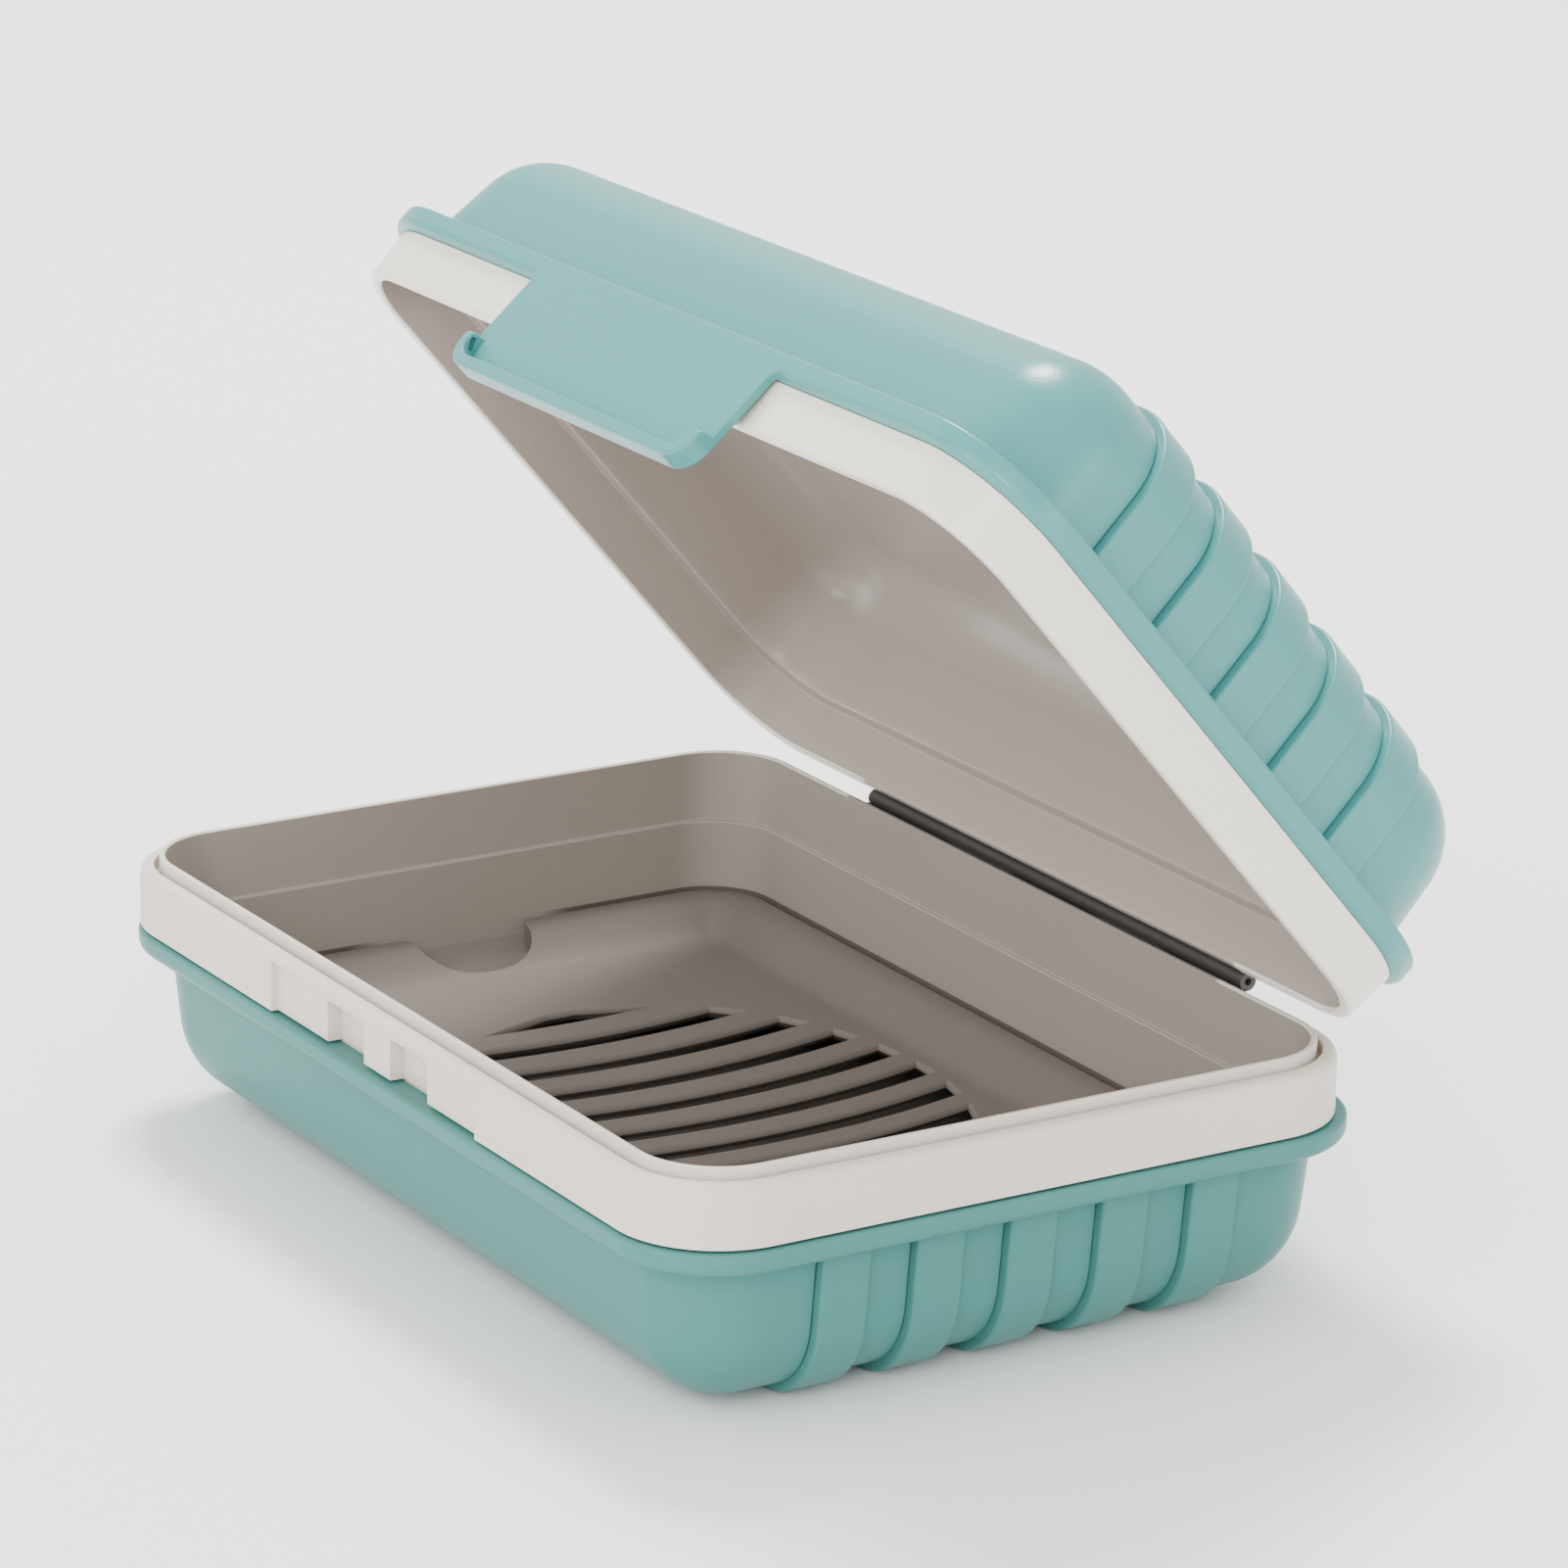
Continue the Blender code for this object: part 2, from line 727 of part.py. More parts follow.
def finger_notch(edge, top, bottom):
    """Cutter for the finger notch in the short side of the tray."""
    half = notch_width / 2
    mouth = edge + notch_mouth_round
    outline = [(edge - overrun, -half - notch_mouth_round)]
    outline += arc((mouth, -half - notch_mouth_round), notch_mouth_round, 180, 90, small_round_steps + 1)
    depth = notch_depth - notch_mouth_round
    for cos_share, sin_share in arc((0.0, 0.0), 1.0, -90, 90, 2 * corner_steps)[1:-1]:
        outline.append((mouth + depth * cos_share, half * sin_share))
    outline += arc((mouth, half + notch_mouth_round), notch_mouth_round, 270, 180, small_round_steps + 1)
    outline.append((edge - overrun, half + notch_mouth_round))
    rings = [[(x, y, z) for x, y in outline] for z in (bottom - overrun, top + overrun)]
    return stack("finger_notch", rings)


def make_tray(material):
    """Drain tray: slotted floor, raised border, and a foot that lies on the seat of the lining."""
    rim = cavity_outline().shrunk(cavity_draft + tray_gap)
    level = base_level
    foot = tray_seat_depth - tray_gap
    belly = tray_flat_depth + tray_thickness
    rings = []
    drop = tray_flat_depth - tray_border_depth
    run = tray_border_width - tray_edge_round
    for step in range(edge_steps + 1):
        angle = math.pi * step / edge_steps
        inset = tray_border_width - run * step / edge_steps
        rings.append(rim.ring(inset, level.at(tray_flat_depth - drop * (1 - math.cos(angle)) / 2)))
    rings.append(rim.ring(0, level.at(tray_border_depth + tray_edge_round)))
    rings.append(rim.ring(0, level.at(foot)))
    rings.append(rim.ring(tray_foot_width, level.at(foot)))
    rings.append(rim.ring(tray_belly_inset, level.at(belly)))
    tray = stack("drain_tray", rings, material)
    top = level.at(tray_flat_depth)
    bottom = level.at(belly)
    slots = [slot_cutter(index, top, bottom) for index in range(slot_count)]
    cut(tray, merged("drain_slots", slots))
    cut(tray, finger_notch(-rim.reach, level.at(tray_border_depth), bottom))
    return tray


def make_carrier(name, place):
    """An empty on a joint's axis."""
    carrier = bpy.data.objects.new(name, None)
    bpy.context.collection.objects.link(carrier)
    carrier.location = place
    return carrier


def build():
    """Make every piece and open the lid."""
    clear_scene()
    materials = make_materials()
    make_base_shell(materials["base_shell"])
    make_base_liner(materials["base_liner"])
    make_tray(materials["drain_tray"])
    make_leaf("hinge_base_leaf", -1, 0, materials["hinge_base_leaf"])
    make_pin(materials["hinge_pin"])
    lid_items = make_lid_shell(materials["lid_shell"])
    lid_items += make_lid_liner(materials["lid_liner"])
    lid_items += make_leaf("hinge_lid_leaf", 1, 1, materials["hinge_lid_leaf"])
    lid_carrier = make_carrier("lid_axis", hinge_axis)
    carry(lid_items, lid_carrier, hinge_axis)
    tab_carrier = make_carrier("tab_axis", tab_axis - hinge_axis)
    tab_carrier.parent = lid_carrier
    carry(make_tab(materials["snap_tab"]), tab_carrier, tab_axis)
    lid_carrier.rotation_euler.x = -lid_open_angle


build()
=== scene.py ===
"""Looks of a travel soap dish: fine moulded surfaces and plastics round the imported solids.

Metres. X runs along the box, -Y is the side of the snap tab and +Y the side of the hinge.
Pieces of the lid are worked out with the lid shut and then turned open about the hinge axis.
"""

import math

import bmesh
import bpy
import numpy as np
from mathutils import Matrix


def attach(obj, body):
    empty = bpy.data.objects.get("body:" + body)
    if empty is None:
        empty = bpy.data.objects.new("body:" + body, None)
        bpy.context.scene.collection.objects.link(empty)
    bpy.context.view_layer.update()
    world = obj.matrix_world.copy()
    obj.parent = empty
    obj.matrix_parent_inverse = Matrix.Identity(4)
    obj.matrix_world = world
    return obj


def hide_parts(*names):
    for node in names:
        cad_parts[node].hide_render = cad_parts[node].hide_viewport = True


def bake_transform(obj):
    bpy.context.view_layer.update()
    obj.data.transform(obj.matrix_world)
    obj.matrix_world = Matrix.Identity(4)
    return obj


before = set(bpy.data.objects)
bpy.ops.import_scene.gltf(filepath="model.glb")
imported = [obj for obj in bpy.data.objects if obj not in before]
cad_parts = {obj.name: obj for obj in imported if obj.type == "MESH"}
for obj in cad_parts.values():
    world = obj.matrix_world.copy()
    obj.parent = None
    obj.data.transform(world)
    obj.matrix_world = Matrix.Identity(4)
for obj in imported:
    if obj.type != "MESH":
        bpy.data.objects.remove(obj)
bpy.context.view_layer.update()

MM = 0.001

# Band that shows between the two shells
band_length = 120.0 * MM
band_width = 81.3 * MM
band_corner = 10.9 * MM
seam_gap = 0.3 * MM
strap_rise = 1.0 * MM
base_depth = 19.2 * MM
base_seam = base_depth + strap_rise
base_band_height = 6.8 * MM
lid_rim = base_seam + base_band_height + seam_gap
lid_band_height = 5.67 * MM
lid_seam = lid_rim + lid_band_height
lid_length = 121.25 * MM
lid_width = 81.73 * MM
lid_corner = 11.5 * MM
lid_depth = 18.3 * MM
lid_angle = math.radians(49.0)
hinge_y = band_width / 2 + 1.2 * MM
hinge_z = lid_rim

# Shells
shell_wall = 1.1 * MM
flange_height = 2.6 * MM
pocket_depth = 1.5 * MM
draft_height = 16.6 * MM
base_draft = 1.8 * MM
lid_draft = 1.5 * MM
base_pocket = 2.5 * MM
lid_pocket = 1.9 * MM
shoulder_gap = 0.1 * MM
base_wall_radius = 9.6 * MM
base_edge_round = 9.8 * MM
lid_wall_radius = 10.5 * MM
lid_edge_round = 9.2 * MM
lid_shell_side_round = 0.4 * MM
lid_mouth_round = 1.0 * MM

# Straps over the shells
base_straps = 1.25 * MM + np.arange(-2, 3) * 10.7 * MM
lid_straps = np.arange(-2, 3) * 10.8 * MM
strap_half_width = 2.8 * MM
strap_round = 0.35 * MM
strap_side = 0.03 * MM
strap_groove_width = 0.25 * MM
strap_groove_depth = 0.7 * MM

# Snap tab
tab_side = 23.2 * MM
tab_face = -(lid_width / 2 + 1.3 * MM)
tab_thickness = 1.0 * MM
tab_bottom = lid_rim - 7.3 * MM
tab_top = lid_seam + flange_height - lid_shell_side_round - 0.05 * MM
tab_proud = 0.03 * MM
tab_corner = 3.0 * MM
tab_fillet = 0.6 * MM
tab_edge_band = 1.75 * MM

# Recess in the front of the base band with a catch for each hook, measured from the seam
recess_half = 21.5 * MM
recess_top = 5.72 * MM
recess_depth = 0.8 * MM
catch_places = np.array([-6.65, 6.65]) * MM
catch_half = 3.85 * MM
catch_top = 4.7 * MM
catch_depth = 1.6 * MM
catch_round = 0.8 * MM
catch_fade_above = 1.3 * MM
catch_fade_beside = 1.6 * MM

# Linings. Their attribute "lining" is nought on the off-white band, one on the brown inner side, a little
# less on the ledge's painted highlight, and two on the painted shade under the tray, which starts at a depth
# from the seam
brown = 1.0
# Painted highlight along the ledge: a lighter brown
painted_ledge_highlight = 0.84
# Painted shade, near black, under the tray, and the depth from the seam where it starts
painted_shade_under_tray = 2.0
painted_shade_depth = 6.9 * MM

# Drain tray: half its size, depths from the seam, and slots that end on an oval
tray_reach = 54.05 * MM
tray_side = 34.7 * MM
tray_corner = 7.05 * MM
tray_crest = 7.1 * MM
tray_floor = 10.0 * MM
tray_underside = 11.5 * MM
cove_start = 8.6 * MM
cove_end = 0.9 * MM
slot_count = 9
first_slot = -30.6 * MM
slot_pitch = 7.4 * MM
slot_closing = 0.18 * MM
slot_half_width = 1.5 * MM
slot_arc_radius = 95.0 * MM
slot_edge = 0.6 * MM
slot_flare = 1.1 * MM
oval_half_length = 32.2 * MM
oval_half_width = 25.0 * MM

# Hinge
hinge_half = 35.5 * MM
seat_half = hinge_half + 0.3 * MM
seat_height = 5.1 * MM
seat_depth = 0.9 * MM
knuckle_count = 5
knuckle_gap = 0.05 * MM
knuckle_radius = 1.0 * MM
knuckle_bore = 0.4 * MM
pin_radius = 0.35 * MM
pin_inset = 0.6 * MM
pin_dome = 0.2 * MM
leaf_inset = 0.6 * MM
leaf_thickness = 0.8 * MM
leaf_span = (0.4 * MM, 4.8 * MM)
web_span = (0.7 * MM, 2.2 * MM)

# Camera that was fitted to the photograph, in degrees, metres and millimetres of lens
camera_angles = (58.08, 17.49, 1.05)
camera_place = (0.5558, -0.3385, 0.2501)
camera_lens = 152.95


# Lines and rings

def arc(centre, radius, start, end, steps):
    """Points of an arc: the centre plus the radius times the cosine and the sine of angles in degrees."""
    angle = np.radians(np.linspace(start, end, steps + 1))
    return np.stack([centre[0] + radius * np.cos(angle), centre[1] + radius * np.sin(angle)], axis=1)


def fillet(corners, cuts, steps=5):
    """A bent line with rounded corners. Round a corner the line is the corner, plus the cut times one less
    the sine of a quarter turn along the leg before, plus the cut times one less its cosine along the next."""
    corners = np.asarray(corners, float)
    turn = np.linspace(0.0, math.pi / 2, steps + 1)[:, None]
    line = [corners[:1]]
    for before, corner, after, cut in zip(corners, corners[1:], corners[2:], cuts):
        if cut == 0.0:
            line.append(corner[None])
            continue
        back = (before - corner) / np.hypot(*(before - corner)[:2])
        on = (after - corner) / np.hypot(*(after - corner)[:2])
        line.append(corner + cut * ((1 - np.sin(turn)) * back + (1 - np.cos(turn)) * on))
    line.append(corners[-1:])
    return np.concatenate(line)


def refined(line, longest):
    """The same line with long legs divided, so that no leg is longer than the length given."""
    legs = [line[:1]]
    for start, end in zip(line, line[1:]):
        count = max(1, math.ceil(np.hypot(*(end - start)[:2]) / longest))
        share = np.arange(1, count + 1)[:, None] / count
        legs.append(start + (end - start) * share)
    return np.concatenate(legs)


def around(places, half, count):
    """Lines close together across each place, from half the width before it to half the width after it."""
    spread = np.linspace(-half, half, count)
    return np.add.outer(np.asarray(places, float), spread).ravel()


def step_at(distance, width):
    """Smooth step: three times the square less twice the cube of the share of the way across a width."""
    share = np.clip(distance / width + 0.5, 0.0, 1.0)
    return share * share * (3 - 2 * share)


def soft_radius(radius):
    """A radius that levels off above zero: half of itself plus the root of its square and a small square."""
    small = 1.0 * MM
    return 0.5 * (radius + np.sqrt(radius ** 2 + small ** 2))


def rect_rows(outline, path, seam, side):
    """Rings of a wall. Each moves the outline in by an inset, at a depth from the seam."""
    reach, front, back, radius = outline
    inset, depth = path[:, 0], path[:, 1]
    corner = soft_radius(radius - inset)
    return np.stack([reach - inset, front + inset, back - inset, corner, corner, seam + side * depth], axis=1)


def band_rows(line, length, width, seam):
    """Rings from a line of inset, height over the seam, and corner radius."""
    inset, height, corner = line.T
    half = width / 2
    return np.stack([length / 2 - inset, inset - half, half - inset, corner, corner, seam + height], axis=1)


class Ring:
    """Rounded rectangles with equal counts of lines. The lines given for the ends and for the long sides keep
    their places whatever the size of the rectangle, and the rest of each side stretches to its corners."""

    def __init__(self, end_lines, side_lines, stretch, corner):
        self.end_lines = np.unique(np.round(end_lines, 7))
        self.side_lines = np.unique(np.round(side_lines, 7))
        self.stretch = stretch
        self.corner = corner

    def across(self, low, high, fixed):
        """Places along a side: even steps to the first fixed line, the fixed lines, even steps to the end."""
        share = np.arange(self.stretch) / self.stretch
        before = low[:, None] + (fixed[0] - low)[:, None] * share
        after = fixed[-1] + (high - fixed[-1])[:, None] * (share + 1 / self.stretch)
        middle = np.broadcast_to(fixed, (len(low), len(fixed)))
        return np.concatenate([before, middle, after], axis=1)

    def points(self, rows):
        """Points of all rings, counterclockwise from above, starting at the front end of the right side."""
        reach, front, back, front_corner, back_corner, height = rows.T
        ends = self.across(front + front_corner, back - back_corner, self.end_lines)
        backs = self.across(back_corner - reach, reach - back_corner, self.side_lines)
        fronts = self.across(front_corner - reach, reach - front_corner, self.side_lines)
        turn = np.radians(90.0 * np.arange(1, self.corner) / self.corner)

        def bend(x, y, radius, quarter):
            """A corner: its centre plus the radius times the cosine and sine of steps of a quarter turn."""
            angle = turn + quarter * math.pi / 2
            return x[:, None] + np.outer(radius, np.cos(angle)), y[:, None] + np.outer(radius, np.sin(angle))

        def flat(place, like):
            """A straight side keeps one place across it."""
            return np.broadcast_to(place[:, None], like.shape)

        parts = [
            (flat(reach, ends), ends),
            bend(reach - back_corner, back - back_corner, back_corner, 0),
            (backs[:, ::-1], flat(back, backs)),
            bend(back_corner - reach, back - back_corner, back_corner, 1),
            (flat(-reach, ends), ends[:, ::-1]),
            bend(front_corner - reach, front + front_corner, front_corner, 2),
            (fronts, flat(front, fronts)),
            bend(reach - front_corner, front + front_corner, front_corner, 3),
        ]
        x = np.concatenate([part[0] for part in parts], axis=1)
        y = np.concatenate([part[1] for part in parts], axis=1)
        self.ends_at = np.cumsum([0] + [part[0].shape[1] for part in parts])
        return np.stack([x, y, np.broadcast_to(height[:, None], x.shape)], axis=2)

    def part(self, index):
        """Columns of one side or corner: 0 right, 2 back, 4 left, 6 front, and the corner after each."""
        return np.arange(self.ends_at[index], self.ends_at[index + 1])

    def cap(self, ring):
        """Grid across a ring. Lines keep the places of the ends and sides, and close to a corner they are
        shifted by the corner's own bend, times a share that fades to none at the first fixed line."""
        half = self.corner // 2
        right, back_right, back, back_left, left, front_left, front, front_right = map(self.part, range(8))
        right_edge = ring[np.concatenate([front_right[half - 1:], right, back_right[:half]])]
        left_edge = ring[np.concatenate([front_left[:half][::-1], left[::-1], back_left[half - 1:][::-1]])]
        front_edge = ring[np.concatenate([front_left[half - 1:], front, front_right[:half]])]
        back_edge = ring[np.concatenate([back_left[:half][::-1], back[::-1], back_right[half - 1:][::-1]])]
        y = right_edge[:, 1]
        low, high = self.end_lines[0], self.end_lines[-1]
        near_front = np.clip((low - y) / (low - y[0]), 0, 1)[:, None]
        near_back = np.clip((y - high) / (y[-1] - high), 0, 1)[:, None]
        grid_y = y[:, None] + near_front * (front_edge[:, 1] - y[0]) + near_back * (back_edge[:, 1] - y[-1])
        share = ((y - y[0]) / (y[-1] - y[0]))[:, None]
        x = (1 - share) * front_edge[:, 0] + share * back_edge[:, 0]
        low, high = self.side_lines[0], self.side_lines[-1]
        near_left = np.clip((low - x) / (low - x[:, :1]), 0, 1)
        near_right = np.clip((x - high) / (x[:, -1:] - high), 0, 1)
        grid_x = x + near_left * (left_edge[:, :1] - x[:, :1]) + near_right * (right_edge[:, :1] - x[:, -1:])
        return np.stack([grid_x, grid_y, np.full(grid_x.shape, ring[0, 2])], axis=2)


class Surface:
    """Grids of points gathered into one mesh."""

    def __init__(self):
        self.points = []
        self.faces = []
        self.lining = []
        self.count = 0

    def keep(self, points, lining):
        """Adds points with their lining and gives the number of the first."""
        start = self.count
        self.points.append(points)
        self.lining.append(np.broadcast_to(lining, points.shape[:1]).astype(float))
        self.count += len(points)
        return start

    def grid(self, points, closed=False, lining=0.0):
        """Faces between the rows and columns of a grid, its last column joined to its first if closed."""
        rows, columns = points.shape[:2]
        value = np.broadcast_to(lining, (rows, columns)) if np.ndim(lining) < 2 else lining
        start = self.keep(points.reshape(-1, 3), value.reshape(-1))
        row = np.arange(rows - 1)[:, None] * columns
        column = np.arange(columns if closed else columns - 1)[None]
        following = (column + 1) % columns
        quads = [row + column, row + following, row + columns + following, row + columns + column]
        self.faces += (np.stack(quads, axis=2).reshape(-1, 4) + start).tolist()
        return self

    def lid(self, ring, lining=0.0):
        """One flat face over a closed ring."""
        start = self.keep(ring, lining)
        self.faces.append(list(range(start, start + len(ring))))
        return self

    def tube(self, rings):
        """Closed rings in a row with a flat face over each end."""
        return self.grid(rings, closed=True).lid(rings[0]).lid(rings[-1])

    def mesh(self, name, turn=0.0):
        """The merged mesh with its faces turned out, turned about the hinge axis by an angle."""
        points = turned(np.concatenate(self.points), turn)
        mesh = bpy.data.meshes.new(name)
        mesh.from_pydata(points.tolist(), [], self.faces)
        mesh.attributes.new("lining", 'FLOAT', 'POINT')
        mesh.attributes["lining"].data.foreach_set("value", np.concatenate(self.lining))
        builder = bmesh.new()
        builder.from_mesh(mesh)
        bmesh.ops.remove_doubles(builder, verts=builder.verts, dist=0.5e-6)
        bmesh.ops.dissolve_degenerate(builder, edges=builder.edges, dist=1e-7)
        bmesh.ops.recalc_face_normals(builder, faces=builder.faces)
        builder.to_mesh(mesh)
        builder.free()
        return mesh


def turned(points, angle):
    """Points turned open about the hinge axis: across and height from it, mixed by cosine and sine."""
    across = points[..., 1] - hinge_y
    height = points[..., 2] - hinge_z
    result = np.array(points, float)
    result[..., 1] = hinge_y + across * math.cos(angle) + height * math.sin(angle)
    result[..., 2] = hinge_z - across * math.sin(angle) + height * math.cos(angle)
    return result


def finished(name, mesh, material, smooth=35.0):
    """An object at the origin with smooth rounds, crisp edges and flat faces that stay flat."""
    item = bpy.data.objects.new(name, mesh)
    bpy.context.scene.collection.objects.link(item)
    mesh.materials.clear()
    mesh.materials.append(material)
    mesh.shade_smooth()
    mesh.set_sharp_from_angle(angle=math.radians(smooth))
    weighted = item.modifiers.new("flat_faces", 'WEIGHTED_NORMAL')
    weighted.keep_sharp = True
    return item


def stand_in(item, body, node):
    """A finished piece rides on a body and replaces a node."""
    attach(item, body)
    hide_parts(node)


def carved(name, mesh, tool_mesh):
    """A mesh with the shape of another cut out of it."""
    item = bpy.data.objects.new(name + "_whole", mesh)
    tool = bpy.data.objects.new(name + "_tool", tool_mesh)
    bpy.context.scene.collection.objects.link(item)
    bpy.context.scene.collection.objects.link(tool)
    modifier = item.modifiers.new("carve", 'BOOLEAN')
    modifier.operation = 'DIFFERENCE'
    modifier.solver = 'EXACT'
    modifier.object = tool
    graph = bpy.context.evaluated_depsgraph_get()
    result = bpy.data.meshes.new_from_object(item.evaluated_get(graph))
    result.name = name
    bpy.data.objects.remove(item)
    bpy.data.objects.remove(tool)
    return result


# Shells

def drafted_path(top, depth, draft, edge, offset, steps, legs):
    """Inset and depth of a drafted wall and the round at its foot, with the outward direction at each point.
    The inset grows by the draft over a set height, and the round is the arc that touches wall and floor."""
    lean = math.atan(draft / draft_height)
    start = depth - edge
    centre = draft * (start - flange_height) / draft_height + edge / math.cos(lean)
    round_part = arc((centre, start), edge + offset, 180 - math.degrees(lean), 90, steps)
    angle = np.radians(np.linspace(180 - math.degrees(lean), 90, steps + 1))
    first = draft * (top - flange_height) / draft_height - offset
    share = np.arange(legs)[:, None] / legs
    wall_part = np.array([first, top]) + (round_part[0] - np.array([first, top])) * share
    out = np.concatenate([np.full(legs, math.cos(lean)), -np.cos(angle)])
    deep = np.concatenate([np.full(legs, math.sin(lean)), np.sin(angle)])
    deep[0] = 0.0
    return np.concatenate([wall_part, round_part]), np.stack([out, deep], axis=1)


def strap_height(y, places):
    """Height of the straps across the box. It is the full rise inside a strap, less a quarter circle at the
    upper edge, with a steep side below that, and a parabola downwards along the foot that faces the tab."""
    from_middle = y[..., None] - places
    nearest = np.abs(from_middle).argmin(axis=-1)[..., None]
    from_middle = np.take_along_axis(from_middle, nearest, axis=-1)[..., 0]
    inside = strap_half_width - np.abs(from_middle)
    share = np.clip((inside - strap_side) / strap_round, 0.0, 1.0)
    top = strap_rise - strap_round * (1 - np.sqrt(1 - (1 - share) ** 2))
    hollow = np.clip(-inside / strap_groove_width, 0.0, 1.0) * (from_middle < 0)
    return top * np.clip(inside / strap_side, 0.0, 1.0) - 4 * strap_groove_depth * hollow * (1 - hollow)


def strap_lines(places):
    """Places of the lines across the straps, close together on their edges and in the groove."""
    turn = np.radians(np.linspace(0, 90, 8))
    edge = np.concatenate([[0.0], strap_side + strap_round * (1 - np.cos(turn)), [strap_half_width]])
    groove = -strap_groove_width * np.array([1.2, 1.0, 0.75, 0.5, 0.25])
    front = np.concatenate([groove, edge]) - strap_half_width
    back = strap_half_width - np.concatenate([[-0.05 * MM], edge])
    lines = np.add.outer(places, np.concatenate([front, back])).ravel()
    gaps = (places[1:] + places[:-1]) / 2
    ends = np.array([places[0] - strap_half_width - 0.7 * MM, places[-1] + strap_half_width + 0.5 * MM])
    return np.concatenate([lines, gaps, ends])


def make_shell(name, body, node, material, band, wall, flange, seam, side, depth, draft, edge,
               seam_round, wall_round, pocket_inset, straps, front_lines, turn, tab=False):
    """Bowl with a hollow flange round its mouth and straps over its ends and its floor or roof. Its profile
    of inset and depth is carried round the box, and the straps' height is added along its outward side."""
    ring = Ring(strap_lines(straps), front_lines, 5, 16)
    inner, _ = drafted_path(pocket_depth, depth, draft, edge, -shell_wall, 8, 2)
    outer, out = drafted_path(flange_height, depth, draft, edge, 0.0, 20, 7)
    pocket = np.array([[pocket_inset, pocket_depth], [pocket_inset, 0.0]])
    lip = arc((seam_round, seam_round), seam_round, 270, 180, 8)
    foot = flange_height - wall_round
    face = np.array([[0.0, seam_round + (foot - seam_round) / 2]])
    root = arc((wall_round, foot), wall_round, 180, 90, 8)
    rim = np.concatenate([lip, face, root])
    hidden = ring.points(np.concatenate([
        rect_rows(wall, inner[::-1], seam, side),
        rect_rows(band, pocket, seam, side),
    ]))
    flange_grid = ring.points(rect_rows(flange, rim, seam, side))
    if tab:
        square_under_tab(flange_grid, ring, flange, seam)
    skin = ring.points(rect_rows(wall, outer, seam, side))
    rise = strap_height(skin[..., 1], straps)
    skin[..., 0] += np.sign(skin[..., 0]) * out[:, :1] * rise
    skin[..., 2] += side * out[:, 1:] * rise
    grid = np.concatenate([hidden, flange_grid, skin])
    flat = ring.points(rect_rows(wall, outer[-1:], seam, side))[0]
    cap = ring.cap(flat)
    cap[..., 2] += side * strap_height(cap[..., 1], straps)
    surface = Surface().grid(grid, closed=True).grid(cap).lid(hidden[0])
    stand_in(finished(name, surface.mesh(name, turn), material), body, node)


def square_under_tab(grid, ring, flange, seam):
    """Where the tab hangs, the round at the mouth of the flange turns into a square corner: its rows move to
    even steps of inset and then of depth, by the smooth step of the distance from the tab's side."""
    front = ring.part(6)
    x = grid[0, front, 0]
    near = step_at(tab_side + tab_fillet - np.abs(x), 0.2 * MM)[None]
    share = np.linspace(0.0, 2.0, 9)[:, None]
    inset = lid_mouth_round * np.clip(1 - share, 0, 1)
    depth = lid_mouth_round * np.clip(share - 1, 0, 1)
    rows = slice(0, 9)
    for axis, target in ((1, flange[1] + inset), (2, seam + depth)):
        part = grid[rows, front[0]:front[-1] + 1, axis]
        grid[rows, front[0]:front[-1] + 1, axis] = part + near * (target - part)


# Outer faces of both shells by their flanges: half the length, front, back and corner radius
base_wall = (
    band_length / 2 - 2.95 * MM, -band_width / 2 + 2.73 * MM, band_width / 2 - 1.11 * MM, base_wall_radius,
)
lid_wall = (lid_length / 2 - 2.3 * MM, -lid_width / 2 + 2.04 * MM, lid_width / 2 - 1.7 * MM, lid_wall_radius)


def make_shells(finishes):
    """The teal bowls of base and lid."""
    half_length, half_width = band_length / 2, band_width / 2
    plain = np.linspace(-40, 40, 25) * MM
    base_band = (half_length, -half_width, half_width, band_corner)
    proud = 0.25 * MM
    base_flange = (half_length + proud, -half_width - proud, half_width + 1.5 * MM, band_corner + proud)
    make_shell("base_shell_skin", "base", "base_shell", finishes["base"],
               band=base_band, wall=base_wall, flange=base_flange, seam=base_seam, side=-1, depth=base_depth,
               draft=base_draft, edge=base_edge_round, seam_round=0.5 * MM, wall_round=1.3 * MM,
               pocket_inset=base_pocket, straps=base_straps, front_lines=plain, turn=0.0)
    half_length, half_width = lid_length / 2, lid_width / 2
    lid_band = (half_length, -half_width, half_width, lid_corner)
    proud = 0.8 * MM
    lid_flange = (half_length + proud, tab_face, half_width + 1.2 * MM, lid_corner + proud)
    ends = tab_side + tab_fillet
    lines = np.concatenate([plain, around([-ends, ends], 0.1 * MM, 5)])
    make_shell("lid_shell_skin", "lid", "lid_shell", finishes["lid"],
               band=lid_band, wall=lid_wall, flange=lid_flange, seam=lid_seam, side=1, depth=lid_depth,
               draft=lid_draft, edge=lid_edge_round, seam_round=lid_mouth_round,
               wall_round=lid_shell_side_round, pocket_inset=lid_pocket, straps=lid_straps,
               front_lines=lines, turn=lid_angle, tab=True)


# Linings

def tub_rows(shoulder_path, band, wall, seam, side, depth, draft, edge):
    """Hidden side of a lining, from its shoulder in the flange's pocket to its floor or roof."""
    clear = shell_wall + 0.3 * MM
    inner_wall = (wall[0] - clear, wall[1] + clear, wall[2] - clear, wall[3] - clear)
    path, _ = drafted_path(1.2 * MM, depth, draft, edge, 0.0, 8, 2)
    hidden = rect_rows(inner_wall, path, seam, side)
    return np.concatenate([rect_rows(band, shoulder_path, seam, side), hidden])


